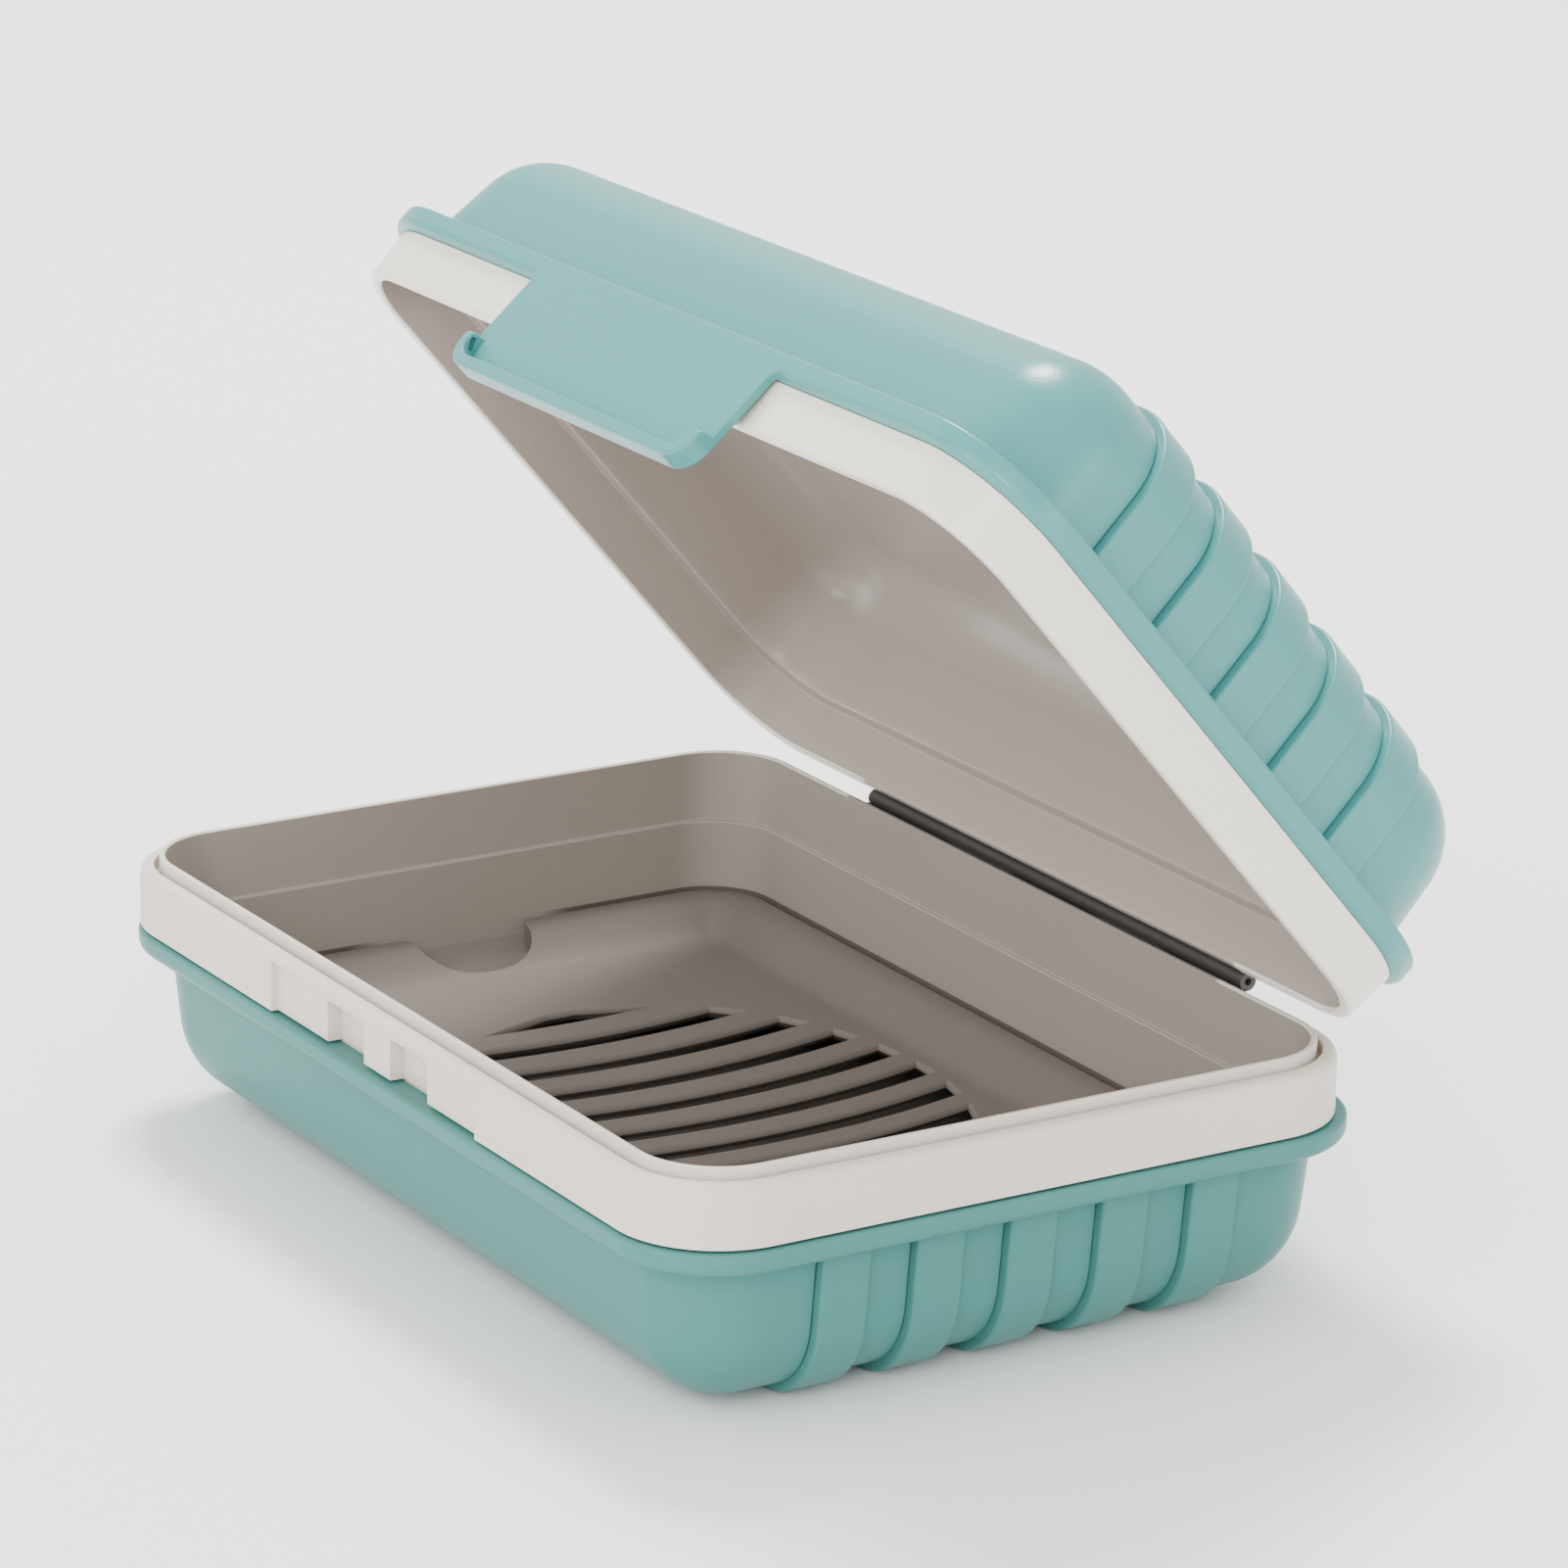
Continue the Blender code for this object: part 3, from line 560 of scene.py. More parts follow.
def leaf_seat(points, low, high):
    """The back of a band made flat for a hinge leaf: points behind the seat's floor move to it, by smooth
    steps of their distances inside its ends, its lower and its upper edge."""
    x, y, z = points[..., 0], points[..., 1], points[..., 2]
    floor = band_width / 2 - seat_depth
    soft = 0.2 * MM
    share = step_at(seat_half - np.abs(x), soft) * step_at(z - low, soft) * step_at(high - z, soft)
    points[..., 1] = y - share * np.maximum(y - floor, 0.0)


def brown_inside_and_hinge_shade(grid, inside, edge):
    """How far each point has the brown of the inner side: fully on the inner rows, and, as painted shade, on
    the rim's edge beside the hinge, within its half length and half a millimetre of the rim's height."""
    painted_shade_by_hinge = (np.abs(grid[..., 0]) < hinge_half) & (grid[..., 1] > 0.0)
    on_rim = np.abs(grid[..., 2] - edge) < 0.5 * MM
    return np.where(inside[:, None] | (painted_shade_by_hinge & on_rim), brown, 0.0)


def catch_bend(x, z):
    """Shift that rounds the upper corner of a catch at its +X side. Close under the top of the catch a line
    moves back by the radius less the root of its square less the square of the height into the round. The
    shift fades to none at the middle of the catch, beside it and above it."""
    height = np.clip(z - (catch_top - catch_round), 0.0, catch_round)
    back = catch_round - np.sqrt(catch_round ** 2 - height ** 2)
    above = np.clip((z - catch_top) / catch_fade_above, 0.0, 1.0)
    across = x[..., None] - catch_places
    before = np.clip(across / catch_half, 0.0, 1.0)
    beyond = np.clip((across - catch_half) / catch_fade_beside, 0.0, 1.0)
    return back * (1 - above) * (before * (1 - beyond)).max(axis=-1)


def carve_front(face):
    """Recess and catches in the front of the band. Points of its outer face move back by the depth of each,
    times smooth steps of their distances inside its sides and under its top."""
    x, y, z = face[..., 0], face[..., 1], face[..., 2] - base_seam
    outer = step_at(0.2 * MM - (y + band_width / 2), 0.2 * MM) * (z > -0.1 * MM)
    in_recess = step_at(recess_half - np.abs(x), 0.12 * MM) * step_at(recess_top - z, 0.12 * MM)
    from_catch = np.abs(x[..., None] - catch_places).min(axis=-1)
    in_catch = step_at(catch_half - from_catch, 0.08 * MM) * step_at(catch_top - z, 0.08 * MM)
    face[..., 1] = y + outer * (recess_depth * in_recess + catch_depth * in_catch)
    face[..., 0] = x - outer * catch_bend(x, z)


def clear_finger_notch(end, is_inner):
    """Room for a fingertip behind the tray's notch. The seat's corner moves out to the wall, but by no more
    than a width, times a share that fades beside the notch and towards the floor."""
    half, fade_beside = 9.5 * MM, 1.0 * MM
    top, foot, fade_below = 8.0 * MM, 14.0 * MM, 3.0 * MM
    wall_inset, widest = 5.65 * MM, 1.25 * MM
    depth = base_seam - end[..., 2]
    beside = np.clip((half - np.abs(end[..., 1])) / fade_beside, 0.0, 1.0)
    under = np.clip((foot - depth) / fade_below, 0.0, 1.0) * (depth > top)
    step = np.maximum(end[..., 0] + band_length / 2 - wall_inset, 0.0)
    end[..., 0] -= is_inner * beside * under * np.minimum(step, widest)


def make_base_liner(material):
    """Lining of the base: floor, tray seat, ledge, lip, channel and band, a bent line of inset, height and
    corner radius carried round the box, with the recess and the catches in front."""
    edges = np.concatenate([catch_places - catch_half, catch_places + catch_half])
    beyond = catch_places + catch_half + catch_fade_beside
    lines = np.concatenate([
        np.linspace(-40, 40, 17) * MM, around(edges, 0.04 * MM, 4), catch_places, beyond,
        around([-recess_half, recess_half], 0.06 * MM, 5), around([-seat_half, seat_half], 0.1 * MM, 5),
    ])
    ring = Ring(np.concatenate([np.linspace(-22, 22, 12), [-9.5, -8.5, 8.5, 9.5]]) * MM, lines, 4, 20)
    corners = np.array([
        (11.4, -15.3, 1.6), (6.9, -15.3, 5.2), (6.9, -8.9, 6.1), (5.65, -8.9, 7.35),
        (5.463, -6.95, 7.5), (5.454, -6.85, 7.5), (4.75, 0.5, 8.0), (4.2, 0.5, 8.0),
        (2.65, 7.9, 8.25), (2.05, 7.9, 8.85), (2.05, 5.3, 8.85), (1.5, 5.3, 9.4),
        (1.5, 6.8, 9.4), (0.0, 6.8, 10.9), (0.0, 0.3, 10.9), (2.6, 0.3, 8.3),
    ]) * MM
    cuts = np.array([4.5, 0.3, 0.2, 0.0, 0.0, 0.2, 0.12, 0.22, 0.22, 0.15, 0.15, 0.15, 0.9, 0.1]) * MM
    line = fillet(corners, cuts, 6)
    line = np.concatenate([refined(line[:-1], 2.0 * MM), line[-1:]])
    # The band's face gets lines where the recess, the catches and their rounds need them
    turn = np.sin(np.radians(np.linspace(0, 80, 8)))
    heights = [around([recess_top], 0.06 * MM, 5), around([catch_top], 0.04 * MM, 4)]
    extra = np.concatenate(heights + [catch_top - catch_round * (1 - turn)])
    on_face = np.stack([np.zeros(len(extra)), np.sort(extra)[::-1], np.full(len(extra), band_corner)], axis=1)
    face_start = np.flatnonzero(line[:, 0] < 1e-9)[0]
    rest = line[face_start + 1:]
    rest = rest[(rest[:, 0] > 0) | (rest[:, 1] < on_face[-1, 1])]
    line = np.concatenate([line[:face_start + 1], on_face, rest])
    band = (band_length / 2, -band_width / 2, band_width / 2, band_corner)
    shoulder = np.array([[base_pocket + shoulder_gap, 1.2 * MM]])
    rows = np.concatenate([
        band_rows(line, band_length, band_width, base_seam),
        tub_rows(shoulder, band, base_wall, base_seam, -1, 16.1 * MM, base_draft, 6.5 * MM),
    ])
    grid = ring.points(rows)
    front = ring.part(6)
    carve_front(grid[:, front[0]:front[-1] + 1])
    left = ring.part(4)
    is_inner = (np.arange(len(rows)) < np.flatnonzero(line[:, 1] > 0.0)[0])[:, None]
    clear_finger_notch(grid[:, left[0]:left[-1] + 1], is_inner)
    leaf_seat(grid, hinge_z - seat_height, base_seam + 8.0 * MM)
    # Rows up to the crest of the inner lip are brown, with a painted highlight on the ledge and painted shade
    # under the tray
    inside = np.arange(len(rows)) < np.flatnonzero(line[:, 1] > 7.7 * MM)[0]
    # Brown on the inner side, and painted shade on the lip beside the hinge
    lining = brown_inside_and_hinge_shade(grid, inside, base_seam + 7.5 * MM)
    height = grid[..., 2] - base_seam
    # Painted highlight: a lighter brown along the ledge's edge
    lining[(height > 0.4 * MM) & (height < 0.58 * MM) & inside[:, None]] = painted_ledge_highlight
    at_notch = (grid[..., 0] < -46.0 * MM) & (np.abs(grid[..., 1]) < 12.0 * MM)
    # Painted shade: the lining under the tray's level, and the floor's face, go near black, except behind the
    # finger notch
    lining[(height < -painted_shade_depth) & inside[:, None] & ~at_notch] = painted_shade_under_tray
    surface = Surface().grid(grid, closed=True, lining=lining).lid(grid[0], painted_shade_under_tray).lid(grid[-1])
    item = finished("base_liner_skin", surface.mesh("base_liner_skin"), material)
    stand_in(item, "base", "base_liner")


def make_lid_liner(material):
    """Lining of the lid: roof, wall, step, rim and leaning band, a bent line carried round the box."""
    lines = np.concatenate([np.linspace(-40, 40, 17) * MM, around([-seat_half, seat_half], 0.1 * MM, 5)])
    ring = Ring(np.linspace(-22, 22, 12) * MM, lines, 4, 20)
    half_length, half_width = lid_length / 2, lid_width / 2
    band = (half_length, -half_width, half_width, lid_corner)
    inset = 4.4 * MM
    cavity = (half_length - inset, -half_width + inset, half_width - inset, 9.5 * MM)
    inner, _ = drafted_path(0.33 * MM, 16.1 * MM, lid_draft, 7.0 * MM, 0.0, 14, 5)
    inner[:, 0] -= inner[0, 0]
    inner_rows = rect_rows(cavity, inner[::-1][:-1], lid_seam, 1)
    corners = np.array([
        (4.6, 1.6, 9.3), (4.4, 0.33, 9.5), (2.3, 0.33, 9.2), (1.92, -5.67, 9.58), (0.5, -5.67, 11.0),
        (0.0, -0.03, 11.5), (lid_pocket / MM + 0.1, -0.03, 9.6),
    ]) * MM
    cuts = np.array([0.3, 0.2, 0.35, 0.5, 0.1]) * MM
    line = refined(fillet(corners, cuts, 6), 1.5 * MM)
    shoulder = np.array([[lid_pocket + shoulder_gap, 1.2 * MM]])
    rows = np.concatenate([
        inner_rows[inner_rows[:, 5] > lid_seam + 1.7 * MM],
        band_rows(line, lid_length, lid_width, lid_seam),
        tub_rows(shoulder, band, lid_wall, lid_seam, 1, 16.9 * MM, lid_draft, 7.8 * MM),
    ])
    grid = ring.points(rows)
    leaf_seat(grid, lid_rim - 1.0 * MM, hinge_z + seat_height)
    inside = np.arange(len(rows)) <= np.flatnonzero(rows[:, 5] < lid_rim + 0.4 * MM)[0]
    # Brown on the inner side, and painted shade on the rim beside the hinge
    lining = brown_inside_and_hinge_shade(grid, inside, lid_rim + 0.4 * MM)
    surface = Surface().grid(grid, closed=True, lining=lining).lid(grid[0], brown).lid(grid[-1])
    item = finished("lid_liner_skin", surface.mesh("lid_liner_skin", lid_angle), material)
    stand_in(item, "lid", "lid_liner")


# Drain tray

def slot_outline(place, wider, steps=36, end_steps=24):
    """A slot from above: two arcs about one centre, with ends on an oval, all moved out by a width. An arc
    meets the oval at the half width that both agree on, found by taking their mean again and again. Each
    end is a straight line between the arcs, held back to the oval."""
    centre = place - slot_arc_radius
    length, width = oval_half_length + wider, oval_half_width + wider
    across = slot_half_width + wider
    edges = []
    for edge in (slot_arc_radius + across, slot_arc_radius - across):
        half = width / 2
        for _ in range(40):
            along = centre + math.sqrt(edge ** 2 - half ** 2)
            half = (half + width * math.sqrt(1 - min(abs(along) / length, 1.0) ** 2)) / 2
        reach = math.degrees(math.asin(half / edge))
        edges.append(arc((centre, 0.0), edge, -reach, reach, steps))
    outer, inner = edges[0], edges[1][::-1]
    share = (np.arange(1, end_steps) / end_steps)[:, None]
    end = outer[-1] + (inner[0] - outer[-1]) * share
    oval = length * np.sqrt(np.maximum(1 - (end[:, 1] / width) ** 2, 0.0))
    end[:, 0] = np.clip(end[:, 0], -oval, oval)
    return np.concatenate([outer, end, inner, end[::-1] * [1, -1]])


def slot_tools(surface, top, bottom):
    """Curved slots with rounded upper edges, wider below so that only the dark shows through. They stand a
    pitch apart, which closes up a little from one to the next."""
    profile = arc((0.0, top - slot_edge), slot_edge, 0, 90, 7)
    levels = [(slot_flare, bottom - 0.1 * MM), (0.0, top - slot_edge - 0.05 * MM)]
    levels += [(slot_edge - inward, height) for inward, height in profile]
    levels.append((slot_edge, top + 1.0 * MM))
    for index in range(slot_count):
        place = first_slot + slot_pitch * index - slot_closing * index * (index - 1) / 2
        rings = []
        for wider, height in levels:
            outline = slot_outline(place, wider)
            rings.append(np.column_stack([outline, np.full(len(outline), height)]))
        surface.tube(np.stack(rings))


def notch_tool(surface, edge, top, bottom):
    """Finger notch: half an oval with rounded mouth corners, open to the tray's edge."""
    half, depth, mouth = 7.0 * MM, 7.2 * MM, 2.0 * MM
    start = edge + mouth
    turn = np.radians(np.linspace(-90, 90, 33))[1:-1]
    curve = np.column_stack([start + (depth - mouth) * np.cos(turn), half * np.sin(turn)])
    outline = np.concatenate([
        [[edge - 1.0 * MM, -half - mouth]],
        arc((start, -half - mouth), mouth, 180, 90, 8),
        curve,
        arc((start, half + mouth), mouth, 270, 180, 8),
        [[edge - 1.0 * MM, half + mouth]],
    ])
    heights = (bottom - 1.0 * MM, top + 1.0 * MM)
    surface.tube(np.stack([np.column_stack([outline, np.full(len(outline), height)]) for height in heights]))


def make_tray(material):
    """Drain tray: a flat floor, a border that rises in half a cosine wave, and a foot on the lining's seat,
    with the slots and the notch cut out."""
    ring = Ring(np.linspace(-22, 22, 5) * MM, np.linspace(-40, 40, 9) * MM, 2, 20)
    rim = (tray_reach, -tray_side, tray_side, tray_corner)
    share = np.linspace(0, 1, 17)
    inset = cove_start - (cove_start - cove_end) * share
    depth = tray_floor - (tray_floor - tray_crest) * (1 - np.cos(math.pi * share)) / 2
    cove = np.stack([inset, depth], axis=1)
    crest = arc((0.45 * MM, 7.55 * MM), 0.45 * MM, 270, 180, 5)
    foot = np.array([(0.0, 8.6), (1.3, 8.6), (3.4, 11.5)]) * MM
    path = np.concatenate([cove, crest, foot])
    grid = ring.points(rect_rows(rim, path, base_seam, -1))
    whole = Surface().tube(grid)
    top, bottom = base_seam - tray_floor, base_seam - tray_underside
    tools = Surface()
    slot_tools(tools, top, bottom)
    slots = carved("drain_tray_slots", whole.mesh("drain_tray_whole"), tools.mesh("slots"))
    tools = Surface()
    notch_tool(tools, -tray_reach, base_seam - tray_crest, bottom)
    mesh = carved("drain_tray_skin", slots, tools.mesh("notch"))
    stand_in(finished("drain_tray_skin", mesh, material, 30.0), "tray", "drain_tray")


# Snap tab

def make_tab(material):
    """Snap tab in one with the lid's flange: a plate whose sides flare into the flange in quarter circles,
    with a flat-topped rim round its foot that climbs its sides, a fine groove along the rim, and hooks
    behind. At its upper ends the rim fades as a quarter circle from a raised profile to a plain one."""
    climb_end = tab_bottom + 4.2 * MM
    fade = 0.6 * MM
    root = lid_seam
    quarter = np.radians(np.linspace(0, 90, 8))
    fading = climb_end - fade * (1 - np.cos(quarter))
    flaring = root - tab_fillet * (1 - np.sin(quarter))
    heights = np.concatenate([fading, flaring, [tab_bottom + 6.0 * MM, root - 2.0 * MM]])
    middle = (tab_bottom + tab_top) / 2
    ring = Ring(heights - middle, np.linspace(-18, 18, 13) * MM, 2, 16)
    plain_front = np.concatenate([
        arc((0.15 * MM, -0.15 * MM), 0.15 * MM, 180, 90, 5),
        np.stack([np.linspace(0.25, 1.65, 20) * MM, np.zeros(20)], axis=1),
        np.array([(tab_edge_band, 0.0)]),
    ])
    raised = np.concatenate([
        arc((0.35 * MM, 1.2 * MM), 0.35 * MM, 180, 95, 8),
        arc((1.15 * MM, 1.37 * MM), 0.23 * MM, 90, 0, 7),
        np.array([(1.38, 0.4), (1.38, 0.1), (1.38, -0.12), (1.41, -0.2), (1.48, -0.22)]) * MM,
        np.array([(1.55, -0.2), (1.58, -0.12), (1.58, -0.04), (1.6, 0.0)]) * MM,
        np.array([(tab_edge_band, 0.0)]),
    ])
    back = np.concatenate([
        np.array([(1.6, -1.0)]) * MM,
        arc((0.25 * MM, -0.75 * MM), 0.25 * MM, 270, 180, 5),
    ])

    def rows(path):
        """Rings of the plate, each moved in from its outline by an inset, at a height in front of it."""
        inset, height = path.T
        half = (tab_top - tab_bottom) / 2
        low = soft_radius(tab_corner - inset)
        high = np.full(len(inset), 0.2 * MM)
        return np.stack([tab_side - inset, inset - half, half - inset, low, high, height], axis=1)

    plain = ring.points(rows(np.concatenate([back, plain_front])))
    rimmed = ring.points(rows(np.concatenate([back, raised])))
    column = plain[6, :, 1] + middle
    share = np.clip((climb_end - column) / fade, 0, 1)
    climb = np.sqrt(1 - (1 - share) ** 2)[None, :, None]
    grid = plain + climb * (rimmed - plain)
    flare = np.clip((grid[..., 1] + middle - root) / tab_fillet + 1, 0, 1)
    at_side = np.clip(1 - (tab_side - np.abs(grid[..., 0])) / tab_edge_band, 0, 1)
    grid[..., 0] += np.sign(grid[..., 0]) * at_side * tab_fillet * (1 - np.sqrt(1 - flare ** 2))
    surface = Surface()
    for part, closed in ((grid, True), (ring.cap(grid[-1]), False), (ring.cap(grid[0]), False)):
        place = np.stack([part[..., 0], tab_face - tab_proud - part[..., 2], part[..., 1] + middle], axis=-1)
        surface.grid(place, closed=closed)
    hooks = Surface()
    for x in catch_places:
        hook(hooks, x)
    whole, slots = surface.mesh("snap_tab_whole", lid_angle), rim_slots().mesh("slots", lid_angle)
    plate = carved("snap_tab_plate", whole, slots)
    item = finished("snap_tab_skin", joined(plate, hooks.mesh("hooks", lid_angle)), material)
    start = turned(np.array([0.0, tab_face, root + 0.1 * MM]), lid_angle)
    end = turned(np.array([0.0, tab_face, root - 1.6 * MM]), lid_angle)
    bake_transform(item)
    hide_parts("snap_tab")


def rim_slots():
    """Tools for a small slot in the inner side of the rim at each end: a rounded rectangle that leans
    by 22 degrees, carried into the rim."""
    length, width, corner = 0.72 * MM, 0.34 * MM, 0.2 * MM
    middle_out, middle_up = 0.75 * MM, tab_bottom + 2.9 * MM
    quarters = [(1, 1, 0), (-1, 1, 90), (-1, -1, 180), (1, -1, 270)]
    outline = np.concatenate([
        arc((x * (width - corner), y * (length - corner)), corner, start, start + 90, 4)
        for x, y, start in quarters
    ])
    lean = math.radians(22.0)
    out = middle_out + outline[:, 0] * math.cos(lean) + outline[:, 1] * math.sin(lean)
    up = middle_up + outline[:, 1] * math.cos(lean) - outline[:, 0] * math.sin(lean)
    surface = Surface()
    for side in (-1, 1):
        inner, outer = side * (tab_side - 2.4 * MM), side * (tab_side - 0.75 * MM)
        across = tab_face - tab_proud - out
        surface.tube(np.stack([np.column_stack([np.full(len(out), x), across, up]) for x in (inner, outer)]))
    return surface


def joined(mesh, other):
    """One mesh out of two."""
    builder = bmesh.new()
    builder.from_mesh(mesh)
    builder.from_mesh(other)
    builder.to_mesh(mesh)
    builder.free()
    return mesh


def hook(surface, x):
    """A hook behind the tab: a section with a flat top that catches and a sloping foot, carried along the tab
    and drawn in towards its middle at the ends."""
    back = tab_face + tab_thickness
    low = base_seam + 0.9 * MM
    section = np.array([(-0.4, 0.0), (0.38, 0.0), (1.15, 0.7), (1.15, 3.2), (-0.4, 3.2)]) * MM
    section = fillet(section, np.array([0.15, 0.2, 0.2]) * MM, 4)
    middle = section.mean(axis=0)
    ends = np.array([(-3.45, 0.9), (-3.35, 0.98), (-3.2, 1.0), (3.2, 1.0), (3.35, 0.98), (3.45, 0.9)])
    rings = []
    for along, share in ends:
        shape = middle + (section - middle) * share
        place = [np.full(len(shape), x + along * MM), back + shape[:, 0], low + shape[:, 1]]
        rings.append(np.column_stack(place))
    surface.tube(np.stack(rings))


# Hinge

def bar(surface, x_range, y_range, z_range, bevel):
    """A bar with bevelled edges: its rings shrink by the bevel at both ends."""
    x_low, x_high = x_range
    levels = [(x_low, bevel), (x_low + bevel, 0.0), (x_high - bevel, 0.0), (x_high, bevel)]
    y_low, y_high = y_range
    z_low, z_high = z_range
    rings = []
    for x, inset in levels:
        corners = np.array([
            (y_low + bevel, z_low + inset), (y_high - bevel, z_low + inset),
            (y_high - inset, z_low + bevel), (y_high - inset, z_high - bevel),
            (y_high - bevel, z_high - inset), (y_low + bevel, z_high - inset),
            (y_low + inset, z_high - bevel), (y_low + inset, z_low + bevel),
        ])
        rings.append(np.column_stack([np.full(len(corners), x), corners]))
    surface.tube(np.stack(rings))


def barrel(surface, left, right, radius, bore):
    """A round knuckle with a bore: its closed section of length and radius turned about the hinge axis."""
    bevel = 0.02 * MM
    section = np.array([
        (left, bore), (left, radius - bevel), (left + bevel, radius), (right - bevel, radius),
        (right, radius - bevel), (right, bore), (left, bore),
    ])
    angle = np.linspace(0, 2 * math.pi, 49)[:-1]
    y = hinge_y + np.outer(section[:, 1], np.cos(angle))
    z = hinge_z + np.outer(section[:, 1], np.sin(angle))
    x = np.broadcast_to(section[:, :1], y.shape)
    surface.grid(np.stack([x, y, z], axis=2), closed=True)


def make_leaf(name, body, node, side, first, turn, material):
    """One hinge leaf: a plate and every second knuckle, each on a web from the plate."""
    plate = band_width / 2 - leaf_inset
    heights = sorted(hinge_z + side * edge for edge in leaf_span)
    web = sorted(hinge_z + side * edge for edge in web_span)
    surface = Surface()
    bar(surface, (-hinge_half, hinge_half), (plate, plate + leaf_thickness), heights, 0.1 * MM)
    pitch = (2 * hinge_half + knuckle_gap) / knuckle_count
    for index in range(first, knuckle_count, 2):
        left = index * pitch - hinge_half
        right = left + pitch - knuckle_gap
        bar(surface, (left, right), (plate + 0.01 * MM, hinge_y - 0.2 * MM), web, 0.06 * MM)
        barrel(surface, left, right, knuckle_radius, knuckle_bore)
    stand_in(finished(name, surface.mesh(name, turn), material, 40.0), body, node)


def make_pin(material):
    """Steel pin with a small dome on each end: a cosine profile turned about the hinge axis."""
    half = hinge_half - pin_inset
    dome = arc((0.0, 0.0), 1.0, 0, 84, 6)
    radius = pin_radius * np.concatenate([dome[::-1, 0], dome[:, 0]])
    rise = pin_dome * (1 - dome[:, 1])
    along = np.concatenate([-half + rise[::-1], half - rise])
    angle = np.linspace(0, 2 * math.pi, 33)[:-1]
    y = hinge_y + np.outer(radius, np.cos(angle))
    z = hinge_z + np.outer(radius, np.sin(angle))
    rings = np.stack([np.broadcast_to(along[:, None], y.shape), y, z], axis=2)
    item = finished("hinge_pin_skin", Surface().tube(rings).mesh("hinge_pin_skin"), material)
    stand_in(item, "base", "hinge_pin")


# Finishes

class Value:
    """A socket in a formula: an operator on it adds a Math node."""

    def __init__(self, finish, socket):
        self.finish = finish
        self.socket = socket

    def join(self, operation, first, second):
        """A Math node of two terms."""
        return self.finish.node("ShaderNodeMath", {"operation": operation}, {0: first, 1: second})

    def __add__(self, other):
        return self.join('ADD', self, other)

    def __radd__(self, other):
        return self.join('ADD', other, self)

    def __sub__(self, other):
        return self.join('SUBTRACT', self, other)

    def __rsub__(self, other):
        return self.join('SUBTRACT', other, self)

    def __mul__(self, other):
        return self.join('MULTIPLY', self, other)

    def __rmul__(self, other):
        return self.join('MULTIPLY', other, self)


class Finish:
    """A material in the making."""

    def __init__(self, name, **settings):
        self.material = bpy.data.materials.new(name)
        self.material.use_nodes = True
        self.tree = self.material.node_tree
        self.shader = self.tree.nodes["Principled BSDF"]
        for socket, value in settings.items():
            self.shader.inputs[socket.replace("_", " ")].default_value = value

    def node(self, kind, settings=None, sockets=None, output=0):
        """A node with its settings made first, then the values or links of its sockets."""
        node = self.tree.nodes.new(kind)
        for key, value in (settings or {}).items():
            setattr(node, key, value)
        for key, value in (sockets or {}).items():
            self.feed(node.inputs[key], value)
        return Value(self, node.outputs[output])

    def feed(self, socket, value):
        """A socket takes a link or a plain value."""
        if isinstance(value, Value):
            self.tree.links.new(value.socket, socket)
        else:
            socket.default_value = value

    def noise(self, place, scale, detail, roughness=0.5):
        """Noise between nought and one."""
        sockets = {"Vector": place, "Scale": scale, "Detail": detail, "Roughness": roughness}
        return self.node("ShaderNodeTexNoise", {}, sockets, "Fac")

    def colours(self, share, first, second):
        """A mix of two colours."""
        sockets = {0: share, 6: first, 7: second}
        return self.node("ShaderNodeMix", {"data_type": 'RGBA'}, sockets, 2)


def tone(colour, factor):
    """A colour times a factor, with full cover."""
    return (*(min(1.0, part * factor) for part in colour), 1.0)


def moulded(name, colour, roughness, grain, inner=None, specular=0.5):
    """Satin moulded plastic: faint clouds of tone, a fine eroded grain, and slow waves of the mould. A lining
    is brown where its attribute is one, and goes on to a near-black painted shade where it is two."""
    finish = Finish(name, Specular_IOR_Level=specular)
    place = finish.node("ShaderNodeTexCoord", output="Object")
    cloud = finish.noise(place, 45.0, 3.0, 0.55)
    speck = finish.noise(place, 5200.0, 2.0, 0.6)
    tint = finish.colours(cloud * 0.7 + speck * 0.3, tone(colour, 0.965), tone(colour, 1.035))
    if inner is not None:
        deep = finish.colours(cloud * 0.6 + speck * 0.4, tone(inner, 0.96), tone(inner, 1.04))
        lining = finish.node("ShaderNodeAttribute", {"attribute_name": "lining"}, output="Fac")
        tint = finish.colours(lining, tint, deep)
        # Painted shade: where the attribute goes on to two, the colour goes on to a near-black copy of the
        # brown
        tint = finish.colours(lining - 1.0, tint, tone(inner, 0.35))
    finish.feed(finish.shader.inputs["Base Color"], tint)
    gloss = finish.noise(place, 260.0, 2.0)
    finish.feed(finish.shader.inputs["Roughness"], gloss * 0.08 + (roughness - 0.04))
    fine = finish.noise(place, 3800.0, 3.0, 0.65)
    wave = finish.noise(place, 190.0, 1.0)
    height = fine * grain + wave * 0.5
    bump = finish.node("ShaderNodeBump", {}, {"Strength": 0.35, "Distance": 0.00006, "Height": height})
    finish.feed(finish.shader.inputs["Normal"], bump)
    return finish.material


def drawn_steel(name):
    """Steel with fine lines along the pin."""
    finish = Finish(name, Metallic=1.0)
    place = finish.node("ShaderNodeTexCoord", output="Object")
    stretched = finish.node("ShaderNodeMapping", {}, {"Vector": place, "Scale": (0.02, 1.0, 1.0)})
    lines = finish.noise(stretched, 9000.0, 2.0)
    steel = finish.colours(lines, (0.36, 0.36, 0.36, 1.0), (0.5, 0.5, 0.5, 1.0))
    finish.feed(finish.shader.inputs["Base Color"], steel)
    finish.feed(finish.shader.inputs["Roughness"], lines * 0.15 + 0.25)
    bump = finish.node("ShaderNodeBump", {}, {"Strength": 0.3, "Distance": 0.00003, "Height": lines})
    finish.feed(finish.shader.inputs["Normal"], bump)
    return finish.material


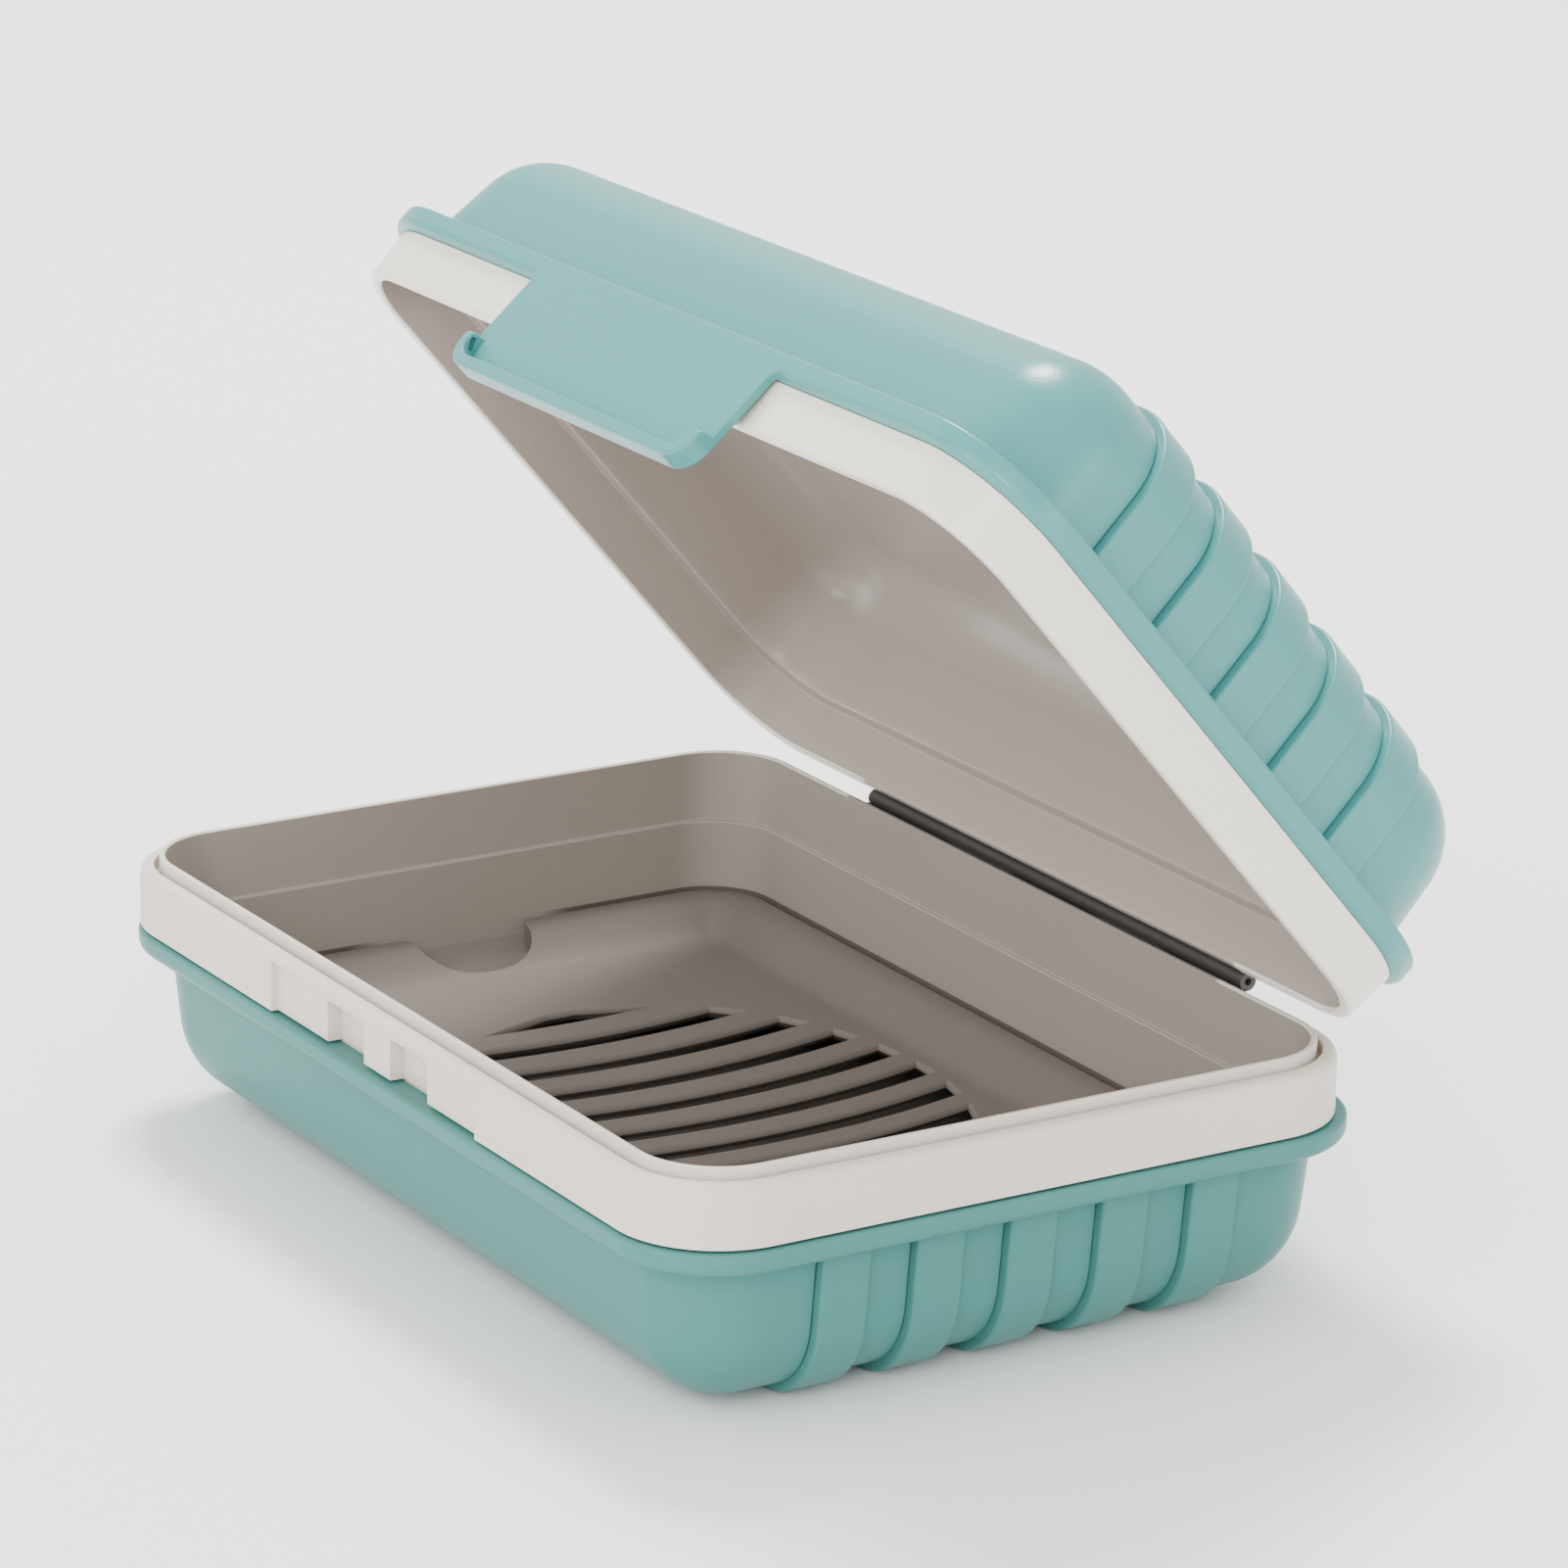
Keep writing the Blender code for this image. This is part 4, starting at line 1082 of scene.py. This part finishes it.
def make_finishes():
    """All finishes of the object."""
    return {
        # Base and lid take lit and shaded copies of one teal and one lining plastic: the base's darker teal,
        # band and inner colours are painted shade
        "base": moulded("base_teal_satin_shaded_copy", (0.058, 0.195, 0.178), 0.34, 1.0, specular=0.1),
        "lid": moulded("lid_teal_satin", (0.052, 0.245, 0.235), 0.3, 1.0),
        "base_lining": moulded("base_lining_satin_shaded_copy", (0.62, 0.56, 0.49), 0.4, 0.9, (0.25, 0.22, 0.192), 0.15),
        "lid_lining": moulded(
            "lid_lining_satin", (0.79, 0.735, 0.65), 0.18, 0.9, (0.385, 0.335, 0.295), 0.35,
        ),
        "tray": moulded("tray_greige_matt", (0.148, 0.128, 0.112), 0.6, 1.4, specular=0.12),
        "hinge": moulded("hinge_brown_matt", (0.05, 0.044, 0.039), 0.55, 1.2, specular=0.3),
        "pin": drawn_steel("pin_steel"),
    }


# Studio

def make_camera():
    """Camera at the photograph's viewing angle: it looks back along the direction given by azimuth and
    elevation, and is turned about that by the roll."""
    azimuth, elevation, roll = (math.radians(angle) for angle in camera_angles)
    level = math.cos(elevation)
    back = np.array([math.sin(azimuth) * level, -math.cos(azimuth) * level, math.sin(elevation)])
    right = np.array([math.cos(azimuth), math.sin(azimuth), 0.0])
    up = np.cross(back, right)
    axes = (right * math.cos(roll) + up * math.sin(roll), up * math.cos(roll) - right * math.sin(roll), back)
    camera = bpy.data.objects.new("camera", bpy.data.cameras.new("camera"))
    bpy.context.scene.collection.objects.link(camera)
    matrix = np.eye(4)
    matrix[:3, :3] = np.stack(axes, axis=1)
    matrix[:3, 3] = camera_place
    camera.matrix_world = Matrix(matrix.tolist())
    camera.data.sensor_width = 36.0
    camera.data.lens = camera_lens
    camera.data.clip_start = 0.01
    camera.data.clip_end = 20.0
    bpy.context.scene.camera = camera


def aimed_light(name, place, target, size, power):
    """A square soft light that shines from a place to a target."""
    data = bpy.data.lights.new(name, 'AREA')
    data.shape = 'SQUARE'
    data.size = size
    data.energy = power
    light = bpy.data.objects.new(name, data)
    bpy.context.scene.collection.objects.link(light)
    back = np.array(place, float) - np.array(target, float)
    back /= np.linalg.norm(back)
    right = np.cross([0.0, 0.0, 1.0], back)
    right /= np.linalg.norm(right)
    matrix = np.eye(4)
    matrix[:3, :3] = np.stack([right, np.cross(back, right), back], axis=1)
    matrix[:3, 3] = place
    light.matrix_world = Matrix(matrix.tolist())


def make_studio():
    """Pale floor, white surroundings and soft lights, each with its place, size and power."""
    finish = Finish("floor_white", Roughness=0.9)
    finish.shader.inputs["Base Color"].default_value = (0.9, 0.9, 0.9, 1.0)
    reach = 3.0
    mesh = bpy.data.meshes.new("floor")
    corners = [(-reach, -reach, 0), (reach, -reach, 0), (reach, reach, 0), (-reach, reach, 0)]
    mesh.from_pydata(corners, [], [(0, 1, 2, 3)])
    mesh.materials.append(finish.material)
    floor = bpy.data.objects.new("floor", mesh)
    bpy.context.scene.collection.objects.link(floor)
    world = bpy.data.worlds.new("studio")
    bpy.context.scene.world = world
    world.use_nodes = True
    world.node_tree.nodes["Background"].inputs["Color"].default_value = (1.0, 1.0, 1.0, 1.0)
    world.node_tree.nodes["Background"].inputs["Strength"].default_value = 1.585
    lights = {
        "top": ((-0.52, 0.29, 1.05), 0.3, 20.6),
        "right": ((0.85, -0.6, 0.6), 0.5, 7.3),
        "front_low": ((0.1, -1.1, 0.22), 0.5, 3.8),
        "front_high": ((0.15, -0.95, 0.75), 0.5, 2.9),
        "left": ((-0.75, -0.6, 0.8), 0.5, 1.2),
        "side": ((1.1, 0.42, 0.15), 0.3, 2.0),
    }
    for name, (place, size, power) in lights.items():
        aimed_light(name, place, (0.0, 0.0, 0.04), size, power)


def main():
    """Make everything."""
    finishes = make_finishes()
    make_shells(finishes)
    make_base_liner(finishes["base_lining"])
    make_lid_liner(finishes["lid_lining"])
    make_tray(finishes["tray"])
    make_tab(finishes["lid"])
    make_leaf("hinge_base_leaf_skin", "base", "hinge_base_leaf", -1, 0, 0.0, finishes["hinge"])
    make_leaf("hinge_lid_leaf_skin", "lid", "hinge_lid_leaf", 1, 1, lid_angle, finishes["hinge"])
    make_pin(finishes["pin"])
    make_camera()
    make_studio()


main()
